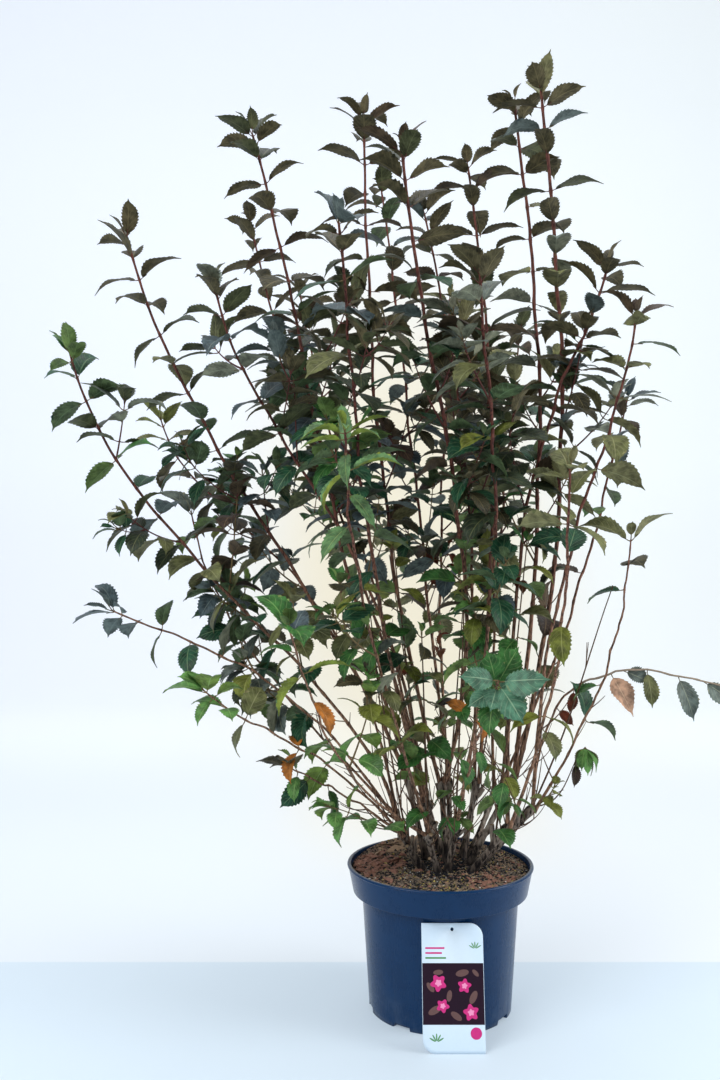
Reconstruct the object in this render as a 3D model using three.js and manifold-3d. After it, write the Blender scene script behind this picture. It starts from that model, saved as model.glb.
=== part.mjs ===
// A weigela in its nursery pot: pot, soil, card label, old stools, long shoots and their foliage.
// Millimetres, +Z up, +X to the right and +Y to the back. The origin is the centre of the pot's flat underside.

import * as THREE from 'three';
import { mergeVertices } from 'three/addons/utils/BufferGeometryUtils.js';
import Module from 'manifold-3d';

const wasm = await Module();
wasm.setup();

// ---------------------------------------------------------------- driving dimensions

const GAP = 0.3; // between two pieces that touch
const TOLERANCE = 0.02; // edges shorter than this are closed up when solids are joined

const POT = {
  height: 232,
  rimRadius: 151,
  lipHeight: 3,
  bandHeight: 44,
  bandFootRadius: 142,
  wallTopRadius: 127.5,
  footRadius: 115.5,
  wall: 2.5,
  floor: 4,
  sides: 36,
};

const DRAIN = { count: 8, width: 30, height: 7, depth: 14, turn: 9.5 };

const SOIL = { flatRadius: 95, flatHeight: 222.5, edgeHeight: 218 };

const LABEL = {
  width: 93,
  length: 183,
  thickness: 0.8,
  corner: 20,
  holeRadius: 2.5,
  holeFromTop: 9,
  footX: 8.5,
  footY: -172.0,
  lean: 14.15,
};

const STOOL = { flare: 2, socketMargin: 0.6, sides: 8, steps: 3 };

const SHOOT = {
  footRadius: 3.5,
  splitRadius: 2.9,
  tipRadius: 1.4,
  leafyWiden: 1.15, // a three-sided stem is this much wider than a round one
  spare: 1.4, // between two shoots on one stool
  sunk: 8, // how far a shoot's foot starts inside its stool before it is cut
};

const TWIG = { radius: 2.1, tipRadius: 1.3, length: 150, angle: 48, lift: 0.45, chance: 0.5 };

const LEAF = {
  length: 88,
  width: 38,
  thickness: 3,
  widest: 0.44, // where it is widest, as a share of its length
  thickest: 0.22, // and where its midrib is thickest
  droop: 0.1,
  sunk: 0.5, // how far its root lies past the twig's axis
  spacing: 118,
  angle: 64,
  clear: 2.5,
};

const COLOUR = {
  pot: 0x24344f,
  soil: 0x46352a,
  label: 0xf1eee8,
  bark: 0x53413a,
  foliage: 0x3c443a,
};

// The old stools: each foot on the soil (x, y), its top, and the turn of its first shoot round the top. Those of
// one root are fused at the foot.
const STOOLS = {
  left: { root: 'left', foot: [-34, -2], top: [-76, 6, 317], turn: 50 },
  low_left: { root: 'left', foot: [-28, -16], top: [-66, -44, 293], turn: 20 },
  mid_left: { root: 'mid_left', foot: [-19, 29], top: [-54, 34, 373], turn: 160 },
  inner_left: { root: 'mid_left', foot: [-10, 16], top: [-28, -8, 341], turn: 70 },
  front_left: { root: 'front', foot: [-4, -36], top: [-26, -66, 297], turn: 20 },
  front: { root: 'front', foot: [9, -31], top: [22, -62, 309], turn: 80 },
  centre: { root: 'centre', foot: [12, 13], top: [4, 16, 361], turn: 160 },
  back_left: { root: 'back', foot: [8, 52], top: [-22, 88, 335], turn: 80 },
  back: { root: 'back', foot: [22, 57], top: [22, 100, 349], turn: 80 },
  inner_right: { root: 'back_right', foot: [38, 31], top: [66, 52, 357], turn: 150 },
  back_right: { root: 'back_right', foot: [50, 40], top: [104, 92, 331], turn: 150 },
  tall_right: { root: 'right', foot: [43, 2], top: [128, 28, 371], turn: 110 },
  right: { root: 'right', foot: [56, -6], top: [152, -14, 327], turn: 110 },
  low_right: { root: 'low_right', foot: [44, -33], top: [104, -66, 311], turn: 130 },
};

// The shoots, in their order round each stool. A shoot passes through mid and ends at tip, and rise says how far
// its end turns upright. A shoot with a bough is bare up to that share of its length, where its foliage starts;
// one without grows straight from the stool and is bare up to the share given.
const SHOOTS = {
  left_short: { stool: 'left', mid: [-290, 140, 740], tip: [-495, 200, 980], rise: 0.6, bare: 0.32 },
  left_under: { stool: 'left', mid: [-330, 50, 595], tip: [-420, 80, 805], rise: 0.5, bare: 0.28 },
  far_left: { stool: 'left', mid: [-325, -30, 655], tip: [-590, -60, 1055], rise: 0.6, bough: 0.24 },
  low_left: { stool: 'low_left', mid: [-300, -60, 550], tip: [-510, -110, 650], rise: 0, bare: 0.26 },
  lowest_left: { stool: 'low_left', mid: [-165, -45, 357], tip: [-240, -90, 405], rise: 0, bare: 0.3 },
  low_front_left: { stool: 'low_left', mid: [-235, -100, 445], tip: [-360, -170, 535], rise: 0.2, bare: 0.28 },
  left: { stool: 'mid_left', mid: [-300, 60, 795], tip: [-535, 100, 1285], rise: 0.45, bough: 0.25 },
  left_tall: { stool: 'mid_left', mid: [-200, 10, 930], tip: [-305, -20, 1415], rise: -0.3, bough: 0.27 },
  left_inner: { stool: 'inner_left', mid: [-190, -60, 820], tip: [-350, -130, 1140], rise: 0.6, bough: 0.27 },
  centre_left: { stool: 'inner_left', mid: [-130, -150, 860], tip: [-160, -300, 1190], rise: -0.3, bough: 0.26 },
  front_left: { stool: 'front_left', mid: [-140, -235, 745], tip: [-150, -400, 895], rise: -0.3, bare: 0.32 },
  front_low: { stool: 'front_left', mid: [-170, -190, 455], tip: [-225, -330, 640], rise: 0.1, bare: 0.3 },
  right_front: { stool: 'front', mid: [70, -160, 835], tip: [35, -270, 1130], rise: 0.5, bough: 0.24 },
  front_right: { stool: 'front', mid: [35, -230, 470], tip: [45, -390, 580], rise: 0, bare: 0.3 },
  centre_tall: { stool: 'centre', mid: [-100, 20, 925], tip: [-125, 50, 1470], rise: 0.5, bough: 0.27 },
  centre_front: { stool: 'centre', mid: [15, -110, 835], tip: [-70, -210, 1320], rise: 0.5, bough: 0.24 },
  back_left: { stool: 'back_left', mid: [-150, 300, 835], tip: [-255, 440, 1270], rise: 0.3, bough: 0.28 },
  left_back: { stool: 'back_left', mid: [-185, 190, 855], tip: [-340, 290, 1365], rise: 0.3, bough: 0.28 },
  back_middle: { stool: 'back', mid: [25, 300, 795], tip: [55, 470, 1260], rise: 0.3, bough: 0.28 },
  centre_back: { stool: 'back', mid: [-40, 210, 970], tip: [-90, 320, 1440], rise: -0.2, bough: 0.28 },
  centre_right: { stool: 'inner_right', mid: [50, 120, 920], tip: [-15, 180, 1350], rise: -0.3, bough: 0.28 },
  right_inner: { stool: 'inner_right', mid: [95, 100, 990], tip: [60, 140, 1420], rise: -0.4, bough: 0.28 },
  back_right: { stool: 'back_right', mid: [135, 260, 795], tip: [195, 430, 1190], rise: 0.3, bough: 0.28 },
  right_behind: { stool: 'back_right', mid: [265, 130, 710], tip: [365, 230, 1020], rise: 0, bare: 0.32 },
  right_tall: { stool: 'tall_right', mid: [175, 75, 1030], tip: [135, 95, 1515], rise: -0.4, bough: 0.27 },
  right_highest: { stool: 'tall_right', mid: [200, 0, 990], tip: [170, 30, 1520], rise: -0.25, bough: 0.27 },
  right_reach: { stool: 'right', mid: [275, 10, 540], tip: [495, -20, 510], rise: -0.2, bare: 0.46 },
  right_outer: { stool: 'right', mid: [210, -110, 805], tip: [290, -120, 1100], rise: 0.6, bare: 0.32 },
  right_low: { stool: 'right', mid: [270, -50, 580], tip: [295, -70, 760], rise: 0.4, bare: 0.42 },
  right_side: { stool: 'low_right', mid: [165, -60, 940], tip: [260, -60, 1190], rise: 0.4, bare: 0.3 },
  front_side: { stool: 'low_right', mid: [160, -200, 615], tip: [150, -320, 855], rise: 0.3, bare: 0.3 },
};

// ---------------------------------------------------------------- helpers

const UP = new THREE.Vector3(0, 0, 1);
const radians = THREE.MathUtils.degToRad;
const vector = (point) => new THREE.Vector3(...point);

// mulberry32: the same numbers each time for the same seed
function seeded(seed) {
  let state = seed;
  return () => {
    state = (state + 0x6d2b79f5) | 0;
    let t = Math.imul(state ^ (state >>> 15), 1 | state);
    t = (t + Math.imul(t ^ (t >>> 7), 61 | t)) ^ t;
    return ((t ^ (t >>> 14)) >>> 0) / 4294967296;
  };
}

function solidOf(geometry) {
  geometry.deleteAttribute('normal');
  geometry.deleteAttribute('uv');
  const merged = mergeVertices(geometry, 1e-4);
  return new wasm.Manifold(new wasm.Mesh({
    numProp: 3,
    vertProperties: new Float32Array(merged.attributes.position.array),
    triVerts: new Uint32Array(merged.index.array),
  }));
}

function geometryOf(solid) {
  const mesh = solid.getMesh();
  const geometry = new THREE.BufferGeometry();
  geometry.setAttribute('position', new THREE.BufferAttribute(mesh.vertProperties, 3));
  geometry.setIndex(new THREE.BufferAttribute(mesh.triVerts, 1));
  geometry.computeVertexNormals();
  return geometry;
}

// The largest body alone: loose scraps are dropped and a hollow that joining has sealed is filled.
function largestBody(solid) {
  return solid.decompose().reduce((best, body) => (body.volume() > best.volume() ? body : best));
}

// Two directions across an axis, the first one level where ref is upright.
function across(axis, ref) {
  const side = new THREE.Vector3().crossVectors(ref, axis).normalize();
  return [side, new THREE.Vector3().crossVectors(side, axis)];
}

// The coordinate axis that lies most nearly across a direction.
function steadyRef(direction) {
  const shares = direction.toArray().map(Math.abs);
  const least = shares.indexOf(Math.min(...shares));
  return new THREE.Vector3().setComponent(least, 1);
}

// A closed tapering tube on a stretch of a curve, from one length along it to another. radius is a function of
// the share of the stretch, and a level foot lies flat on the ground instead of square to the curve.
function limb(curve, from, to, radius, sides, steps, levelFoot = false) {
  const length = curve.getLength();
  const ref = steadyRef(curve.getPointAt(1).sub(curve.getPointAt(0)));
  const geometry = new THREE.CylinderGeometry(1, 1, 1, sides, steps);
  const position = geometry.attributes.position;
  const point = new THREE.Vector3();
  for (let i = 0; i < position.count; i += 1) {
    point.fromBufferAttribute(position, i);
    const share = point.y + 0.5;
    const u = THREE.MathUtils.clamp((from + (to - from) * share) / length, 0, 1);
    const tangent = levelFoot && share < 1e-6 ? UP : curve.getTangentAt(u);
    const [a, b] = across(tangent, ref);
    const r = radius(share);
    const centre = curve.getPointAt(u);
    centre.addScaledVector(a, point.x * r).addScaledVector(b, point.z * r);
    position.setXYZ(i, centre.x, centre.y, centre.z);
  }
  return solidOf(geometry);
}

// ---------------------------------------------------------------- pot, soil and label

// The pot's inner face under the rim: radius at each height.
const innerProfile = [
  [POT.footRadius - POT.wall, POT.floor],
  [POT.wallTopRadius - POT.wall, POT.height - POT.bandHeight + POT.wall],
  [POT.bandFootRadius - POT.wall, POT.height - POT.bandHeight + POT.wall + 0.5],
  [POT.rimRadius - 2 * POT.wall, POT.height],
];

function lathe(profile) {
  const points = profile.map(([radius, height]) => new THREE.Vector2(radius, height));
  return solidOf(new THREE.LatheGeometry(points, POT.sides).rotateX(Math.PI / 2));
}

function buildPot() {
  const ledge = POT.height - POT.bandHeight;
  const shell = lathe([
    [0, 0],
    [POT.footRadius, 0],
    [POT.wallTopRadius, ledge - 1],
    [POT.bandFootRadius, ledge],
    [POT.rimRadius - 1, POT.height - POT.lipHeight - 1],
    [POT.rimRadius + 1, POT.height - POT.lipHeight],
    [POT.rimRadius, POT.height],
    ...innerProfile.slice().reverse(),
    [0, POT.floor],
  ]);
  return Array.from({ length: DRAIN.count }, (_, i) => {
    const notch = new THREE.BoxGeometry(DRAIN.width, 2 * DRAIN.depth, 2 * DRAIN.height);
    notch.translate(0, POT.footRadius, 0);
    notch.rotateZ(radians(DRAIN.turn + (360 / DRAIN.count) * i));
    return solidOf(notch);
  }).reduce((pot, notch) => pot.subtract(notch), shell);
}

function buildSoil() {
  const inside = innerProfile.slice(0, 3).map(([radius, height]) => [radius - GAP, height + GAP]);
  const [ledgeRadius, ledgeHeight] = innerProfile[2];
  const [rimRadius, rimHeight] = innerProfile[3];
  const share = (SOIL.edgeHeight - ledgeHeight) / (rimHeight - ledgeHeight);
  const edgeRadius = ledgeRadius + (rimRadius - ledgeRadius) * share - 2 * GAP;
  return lathe([
    [0, POT.floor + GAP],
    ...inside,
    [edgeRadius, SOIL.edgeHeight],
    [SOIL.flatRadius, SOIL.flatHeight],
    [0, SOIL.flatHeight],
  ]);
}

// A card with two round corners and a hanging hole, standing on the ground and leaning on the pot.
function buildLabel() {
  const right = LABEL.width / 2;
  const card = new THREE.Shape();
  card.moveTo(-right + LABEL.corner, 0);
  card.lineTo(right, 0);
  card.lineTo(right, LABEL.length - LABEL.corner);
  card.absarc(right - LABEL.corner, LABEL.length - LABEL.corner, LABEL.corner, 0, Math.PI / 2);
  card.lineTo(-right, LABEL.length);
  card.lineTo(-right, LABEL.corner);
  card.absarc(-right + LABEL.corner, LABEL.corner, LABEL.corner, Math.PI, 1.5 * Math.PI);
  card.holes.push(new THREE.Path().absarc(0, LABEL.length - LABEL.holeFromTop, LABEL.holeRadius, 0, 2 * Math.PI));
  return new THREE.ExtrudeGeometry(card, { depth: LABEL.thickness, bevelEnabled: false, curveSegments: 5 });
}

// ---------------------------------------------------------------- stools

const children = (stool) => Object.values(SHOOTS).filter((shoot) => shoot.stool === stool);

// The radius of the ring on which a stool's shoots stand.
function socketRing(count) {
  const needed = (2 * SHOOT.footRadius + SHOOT.spare) / (2 * Math.sin(Math.PI / count));
  return Math.max(SHOOT.footRadius, needed);
}

function stoolCurve({ foot, top }) {
  const start = new THREE.Vector3(foot[0], foot[1], SOIL.flatHeight + GAP);
  const end = vector(top);
  const bend = start.clone().lerp(end, 0.5);
  bend.z -= 0.06 * (end.z - start.z);
  return new THREE.QuadraticBezierCurve3(start, bend, end);
}

// grow widens and lengthens the stool, for cutting what stands on it clear of it.
function buildStool(name, grow = 0) {
  const curve = stoolCurve(STOOLS[name]);
  const length = curve.getLength();
  const topRadius = socketRing(children(name).length) + SHOOT.footRadius + STOOL.socketMargin;
  const radius = (share) => topRadius + STOOL.flare * (1 - share) ** 3 + grow;
  const body = limb(curve, 0, length, radius, STOOL.sides, STOOL.steps, true);
  return body.translate(curve.getTangentAt(1).multiplyScalar(grow).toArray());
}

// ---------------------------------------------------------------- shoots

// The course of a shoot: from its place on the stool's top, through mid, to its tip.
function shootCurve(shoot) {
  const stool = stoolCurve(STOOLS[shoot.stool]);
  const siblings = children(shoot.stool);
  const turn = radians(STOOLS[shoot.stool].turn + (360 / siblings.length) * siblings.indexOf(shoot));
  const [level, steep] = across(stool.getTangentAt(1), new THREE.Vector3(0, 1, 0));
  const ring = socketRing(siblings.length);
  const start = stool.getPointAt(1);
  start.addScaledVector(level, ring * Math.cos(turn)).addScaledVector(steep, -ring * Math.sin(turn));

  const mid = vector(shoot.mid);
  const tip = vector(shoot.tip);
  const end = tip.clone().sub(mid);
  const reach = (end.length() * 2) / 3;
  end.normalize().multiplyScalar(1 - shoot.rise).addScaledVector(UP, shoot.rise).normalize();
  const second = tip.clone().addScaledVector(end, -reach);
  // the first control point follows from the curve passing through mid half way
  const first = mid.clone().multiplyScalar(8).sub(start).sub(tip).divideScalar(3).sub(second);
  const initial = first.clone().sub(start).normalize();
  const foot = start.clone().addScaledVector(initial, -SHOOT.sunk);
  return new THREE.CubicBezierCurve3(foot, first, second, tip);
}

function shootRadius(shoot, share) {
  const split = shoot.bough ?? 0;
  const { footRadius, splitRadius, tipRadius } = SHOOT;
  if (share < split) return THREE.MathUtils.mapLinear(share, 0, split, footRadius, splitRadius);
  return THREE.MathUtils.mapLinear(share, split, 1, split > 0 ? splitRadius : footRadius, tipRadius);
}

function buildBough(shoot, curve) {
  const length = curve.getLength();
  const radius = (share) => shootRadius(shoot, share * shoot.bough * 0.999);
  return limb(curve, 0, length * shoot.bough, radius, 6, 3);
}

function buildStem(shoot, curve) {
  const length = curve.getLength();
  const split = shoot.bough ?? 0;
  const from = split > 0 ? length * split + GAP : 0;
  const radius = (share) => shootRadius(shoot, split + (1 - split) * share) * SHOOT.leafyWiden;
  return limb(curve, from, length, radius, 3, Math.round((length - from) / 110));
}

// ---------------------------------------------------------------- leaves and twigs

// An eight-faced blade from root towards dir, lying as flat as it can and then rolled. grow makes the larger
// copy that tests whether the leaf stays clear.
function leafSolid(root, dir, roll, size, grow = 0) {
  const flat = UP.clone().addScaledVector(dir, -UP.dot(dir)).normalize().applyAxisAngle(dir, roll);
  const side = new THREE.Vector3().crossVectors(flat, dir);
  const geometry = new THREE.OctahedronGeometry(1);
  const position = geometry.attributes.position;
  const point = new THREE.Vector3();
  const length = LEAF.length * size;
  for (let i = 0; i < position.count; i += 1) {
    point.fromBufferAttribute(position, i);
    let along = (Math.abs(point.z) > 0.5 ? LEAF.thickest : LEAF.widest) * length;
    if (point.x > 0.5) along = length + grow;
    if (point.x < -0.5) along = -grow;
    const wide = (point.y * LEAF.width * size) / 2 + point.y * grow;
    const high = point.z * (LEAF.thickness / 2 + 0.6 * grow) - (point.x > 0.5 ? LEAF.droop * length : 0);
    point.copy(root).addScaledVector(dir, along).addScaledVector(side, wide).addScaledVector(flat, high);
    position.setXYZ(i, point.x, point.y, point.z);
  }
  return solidOf(geometry);
}

const obstacles = [];

// spot is the point that a leaf grows from: leaves of one mass may meet only there.
function addObstacle(owner, solid, spot = null) {
  const { min, max } = solid.boundingBox();
  obstacles.push({ owner, solid, spot, box: new THREE.Box3(vector(min), vector(max)) });
}

function isClear(owner, solid, spot = null) {
  const { min, max } = solid.boundingBox();
  const box = new THREE.Box3(vector(min), vector(max));
  const mayMeet = (other) => other.owner === owner && !(spot && other.spot && other.spot.distanceTo(spot) > 1);
  return obstacles.every((other) => mayMeet(other)
    || !box.intersectsBox(other.box)
    || other.solid.intersect(solid).isEmpty());
}

// Adds a leaf where it fits, turning it a little round its stem if its first place is taken.
function addLeaf(mass, spot, tangent, turn, angle, size, rand) {
  const roll = (rand() - 0.5) * 0.7;
  const sag = 0.15 + 0.3 * rand();
  const [a, b] = across(tangent, steadyRef(tangent));
  for (const shift of [0, 0.5, -0.5]) {
    const out = a.clone().multiplyScalar(Math.cos(turn + shift)).addScaledVector(b, Math.sin(turn + shift));
    const dir = tangent.clone().multiplyScalar(Math.cos(angle)).addScaledVector(out, Math.sin(angle));
    dir.z -= sag * Math.sin(angle);
    dir.normalize();
    const root = spot.clone().addScaledVector(dir, -LEAF.sunk);
    if (isClear(mass.name, leafSolid(root, dir, roll, size, LEAF.clear), spot)) {
      const leaf = leafSolid(root, dir, roll, size);
      addObstacle(mass.name, leaf, spot);
      mass.pieces.push(leaf);
      mass.leaves += 1;
      return;
    }
  }
}

// A side twig that turns upwards, with leaves in pairs and a pair at its end.
function addTwig(mass, spot, tangent, turn, length, rand) {
  const angle = radians(TWIG.angle);
  const [a, b] = across(tangent, steadyRef(tangent));
  const out = a.multiplyScalar(Math.cos(turn)).addScaledVector(b, Math.sin(turn));
  const first = tangent.clone().multiplyScalar(Math.cos(angle)).addScaledVector(out, Math.sin(angle));
  const last = first.clone().lerp(UP, TWIG.lift).normalize();
  const bend = spot.clone().addScaledVector(first, length / 2);
  const curve = new THREE.QuadraticBezierCurve3(spot.clone(), bend, bend.clone().addScaledVector(last, length / 2));
  const radius = (grow) => (share) => THREE.MathUtils.lerp(TWIG.radius, TWIG.tipRadius, share) + grow;
  const whole = curve.getLength();
  if (!isClear(mass.name, limb(curve, 0, whole, radius(LEAF.clear), 3, 2))) return;
  const twig = limb(curve, 0, whole, radius(0), 3, 2);
  addObstacle(mass.name, twig);
  mass.pieces.push(twig);
  [0.5, 0.97].forEach((share, pair) => {
    for (const side of [0, 1]) {
      const leafTurn = turn + Math.PI * side + (Math.PI / 2) * pair + rand() * 0.4;
      const leafAngle = radians(pair === 1 ? 42 : LEAF.angle);
      addLeaf(mass, curve.getPointAt(share), curve.getTangentAt(share), leafTurn, leafAngle, 0.86, rand);
    }
  });
}

// The foliage of one shoot: its leafy stem, pairs of leaves each a quarter turn on from the last, and side twigs.
function growFoliage(mass, shoot, curve, seed) {
  const rand = seeded(seed);
  const length = curve.getLength();
  const first = (shoot.bough ?? shoot.bare) * length + 0.3 * LEAF.spacing;
  const pairs = Math.round((length - first) / LEAF.spacing);
  const spacing = (length - first) / pairs;
  let turn = rand() * Math.PI;
  for (let pair = 0; pair <= pairs; pair += 1) {
    const top = pair === pairs;
    const u = Math.min((first + pair * spacing) / length, 1 - 2 / length);
    const spot = curve.getPointAt(u);
    const tangent = curve.getTangentAt(u);
    const angle = radians(top ? 38 : LEAF.angle + 14 * (rand() - 0.5));
    const size = top ? 0.8 : 0.92 + 0.16 * rand();
    for (const side of [0, 1]) {
      const sideTurn = turn + Math.PI * side;
      const twigHere = side === pair % 2 && pair < 0.62 * pairs && length > 350 && rand() < TWIG.chance;
      if (twigHere) addTwig(mass, spot, tangent, sideTurn, TWIG.length * (0.75 + 0.45 * rand()), rand);
      else addLeaf(mass, spot, tangent, sideTurn, angle, size, rand);
    }
    turn += Math.PI / 2 + 0.5 * (rand() - 0.5);
  }
}

// ---------------------------------------------------------------- the plant

const weigela = new THREE.Group();

function material(colour, roughness) {
  return new THREE.MeshStandardMaterial({ color: colour, roughness, metalness: 0 });
}

const MATERIAL = {
  pot: material(COLOUR.pot, 0.4),
  soil: material(COLOUR.soil, 0.95),
  label: material(COLOUR.label, 0.5),
  bark: material(COLOUR.bark, 0.8),
  foliage: material(COLOUR.foliage, 0.45),
};

function place(name, geometry, surface) {
  const mesh = new THREE.Mesh(geometry, surface);
  mesh.name = name;
  weigela.add(mesh);
  return mesh;
}

const pot = buildPot();
const soil = buildSoil();
place('pot', geometryOf(pot), MATERIAL.pot);
place('soil', geometryOf(soil), MATERIAL.soil);
addObstacle('pot', pot);
addObstacle('soil', soil);

const label = place('label', buildLabel(), MATERIAL.label);
label.position.set(LABEL.footX, LABEL.footY, 0);
label.rotation.x = radians(90 - LABEL.lean);
label.updateMatrix();
addObstacle('label', solidOf(label.geometry.clone().applyMatrix4(label.matrix)));

const stoolCutters = {};
const roots = {};
for (const [name, { root }] of Object.entries(STOOLS)) {
  const stool = buildStool(name);
  stoolCutters[name] = buildStool(name, GAP);
  roots[root] = roots[root] ? roots[root].add(stool) : stool;
}
for (const [root, stools] of Object.entries(roots)) {
  const joined = largestBody(stools).simplify(TOLERANCE);
  addObstacle(`stool_${root}`, joined);
  place(`stool_${root}`, geometryOf(joined), MATERIAL.bark);
}

const masses = [];
for (const [name, shoot] of Object.entries(SHOOTS)) {
  const curve = shootCurve(shoot);
  const cutter = stoolCutters[shoot.stool];
  if (shoot.bough) {
    const bough = largestBody(buildBough(shoot, curve).subtract(cutter));
    addObstacle(`bough_${name}`, bough);
    place(`bough_${name}`, geometryOf(bough), MATERIAL.bark);
  }
  const whole = buildStem(shoot, curve);
  const stem = shoot.bough ? whole : largestBody(whole.subtract(cutter));
  addObstacle(`foliage_${name}`, stem);
  masses.push({ name: `foliage_${name}`, shoot, curve, pieces: [stem], leaves: 0 });
}

masses.forEach((mass, index) => growFoliage(mass, mass.shoot, mass.curve, 100 + index));

for (const mass of masses) {
  const joined = largestBody(mass.pieces.reduce((sum, piece) => sum.add(piece))).simplify(TOLERANCE);
  place(mass.name, geometryOf(joined), MATERIAL.foliage);
}

export default weigela;
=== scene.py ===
"""Looks of the potted weigela: pot, soil, card label, old stools, bark, twigs and leaves.

Metres, +Z up, +X to the right, +Y to the back. The origin is the centre of the pot's flat underside. The
shoots follow the same courses as the part's solids, and their twigs and leaves grow by the same rule, more
finely.
"""

import bpy
import numpy as np
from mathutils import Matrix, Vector


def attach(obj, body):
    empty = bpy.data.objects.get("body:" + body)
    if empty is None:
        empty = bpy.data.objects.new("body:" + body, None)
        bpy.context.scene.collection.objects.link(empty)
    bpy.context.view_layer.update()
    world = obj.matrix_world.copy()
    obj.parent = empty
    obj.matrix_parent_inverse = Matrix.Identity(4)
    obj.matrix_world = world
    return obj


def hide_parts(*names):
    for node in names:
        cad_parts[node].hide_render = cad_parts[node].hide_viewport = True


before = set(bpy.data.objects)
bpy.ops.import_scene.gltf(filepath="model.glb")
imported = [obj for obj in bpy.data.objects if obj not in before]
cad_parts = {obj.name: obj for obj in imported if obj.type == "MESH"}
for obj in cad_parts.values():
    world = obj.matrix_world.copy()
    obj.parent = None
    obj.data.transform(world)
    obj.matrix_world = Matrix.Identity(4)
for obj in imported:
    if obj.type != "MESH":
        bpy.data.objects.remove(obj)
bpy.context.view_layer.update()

MM = 0.001
UP = np.array([0.0, 0.0, 1.0])
BACK = np.array([0.0, 1.0, 0.0])
ROUND = 6.3  # the range of a turn that may be anything, in radians

# Where the random draws of each part start. Each shoot and each stool has its own, counted on from these.
SHOOT_SEED = 400
STOOL_SEED = 70
STOOL_TWIG_SEED = 77
SOIL_SEED = 5

# ---------------------------------------------------------------- driving sizes, in metres

GAP = 0.0003

POT_HEIGHT = 0.232
POT_RIM_RADIUS = 0.151
POT_LIP_HEIGHT = 0.003
POT_BAND_HEIGHT = 0.044
POT_BAND_FOOT_RADIUS = 0.142
POT_WALL_TOP_RADIUS = 0.1275
POT_FOOT_RADIUS = 0.1155
POT_WALL = 0.0025
POT_FLOOR = 0.004
POT_LEDGE = POT_HEIGHT - POT_BAND_HEIGHT
POT_SIDES = 480

DRAIN_COUNT = 8
DRAIN_WIDTH = 0.030
DRAIN_HEIGHT = 0.007
DRAIN_DEPTH = 0.014
DRAIN_TURN = 9.5
DRAIN_SLOPE = 0.008  # the turn in which a notch's end rises, in radians

SOIL_FLAT_RADIUS = 0.095
SOIL_FLAT_HEIGHT = 0.2225
SOIL_LOOSE = 0.004  # loose peat and chips on top of the solid's height
SOIL_EDGE = POT_RIM_RADIUS - 2 * POT_WALL - 0.0015
SOIL_WAVES = 26
SOIL_RINGS = 70
SOIL_SIDES = 200

LABEL_WIDTH = 0.093
LABEL_LENGTH = 0.183
LABEL_THICKNESS = 0.0008
LABEL_CORNER = 0.020
LABEL_HOLE_RADIUS = 0.0025
LABEL_HOLE_FROM_TOP = 0.009
LABEL_FOOT = (0.0085, -0.1720)
LABEL_LEAN = 14.15
LABEL_SIDES = 720
LABEL_BEVEL = 0.97  # where the front and the back begin to round off, as a share of the way to the edge

STOOL_FLARE = 0.002
STOOL_SUNK = 0.004  # how far its foot reaches down into the loose peat
STOOL_GRID = (56, 60)  # points round it and along it
STUB_GRID = (16, 10)
SOCKET_MARGIN = 0.0006
SHOOT_FOOT_RADIUS = 0.0035
SHOOT_SPLIT_RADIUS = 0.0029
SHOOT_TIP_RADIUS = 0.0019
SHOOT_SPARE = 0.0014
SWAY = 0.0021  # how far a shoot wanders off its plain course
STEM_STEP = 0.007  # between a stem's rings
STEM_SIDES = 9
KNOB_LENGTH = 0.0036

LEAF_LENGTH = 0.074
LEAF_WIDTH = 0.034
LEAF_THICKNESS = 0.0003
TOOTH_DEPTH = 0.0027
TIP_GAPS = (0.016, 0.026, 0.038, 0.048)  # between the leaf pairs nearest to a tip
PAIR_GAP = 0.056  # and between the others
PETIOLE = 0.008
TWIG_RADIUS = 0.0016
TWIG_TIP_RADIUS = 0.0008
TWIG_STEPS = 12
TWIG_SIDES = 6
HIGHEST_TIPS = 1.51  # above it, the pair of leaves at a tip sits lower
LOWEST_SHORT_SHOOTS = 0.41  # where the ends of the short side twigs begin

# The old stools: root, foot on the soil (x, y), top, and the turn of the first shoot round the top, in mm
# and degrees. Those of one root are fused at the foot.
STOOLS = {
    "left": ("left", (-34, -2), (-76, 6, 317), 50),
    "low_left": ("left", (-28, -16), (-66, -44, 293), 20),
    "mid_left": ("mid_left", (-19, 29), (-54, 34, 373), 160),
    "inner_left": ("mid_left", (-10, 16), (-28, -8, 341), 70),
    "front_left": ("front", (-4, -36), (-26, -66, 297), 20),
    "front": ("front", (9, -31), (22, -62, 309), 80),
    "centre": ("centre", (12, 13), (4, 16, 361), 160),
    "back_left": ("back", (8, 52), (-22, 88, 335), 80),
    "back": ("back", (22, 57), (22, 100, 349), 80),
    "inner_right": ("back_right", (38, 31), (66, 52, 357), 150),
    "back_right": ("back_right", (50, 40), (104, 92, 331), 150),
    "tall_right": ("right", (43, 2), (128, 28, 371), 110),
    "right": ("right", (56, -6), (152, -14, 327), 110),
    "low_right": ("low_right", (44, -33), (104, -66, 311), 130),
}

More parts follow.
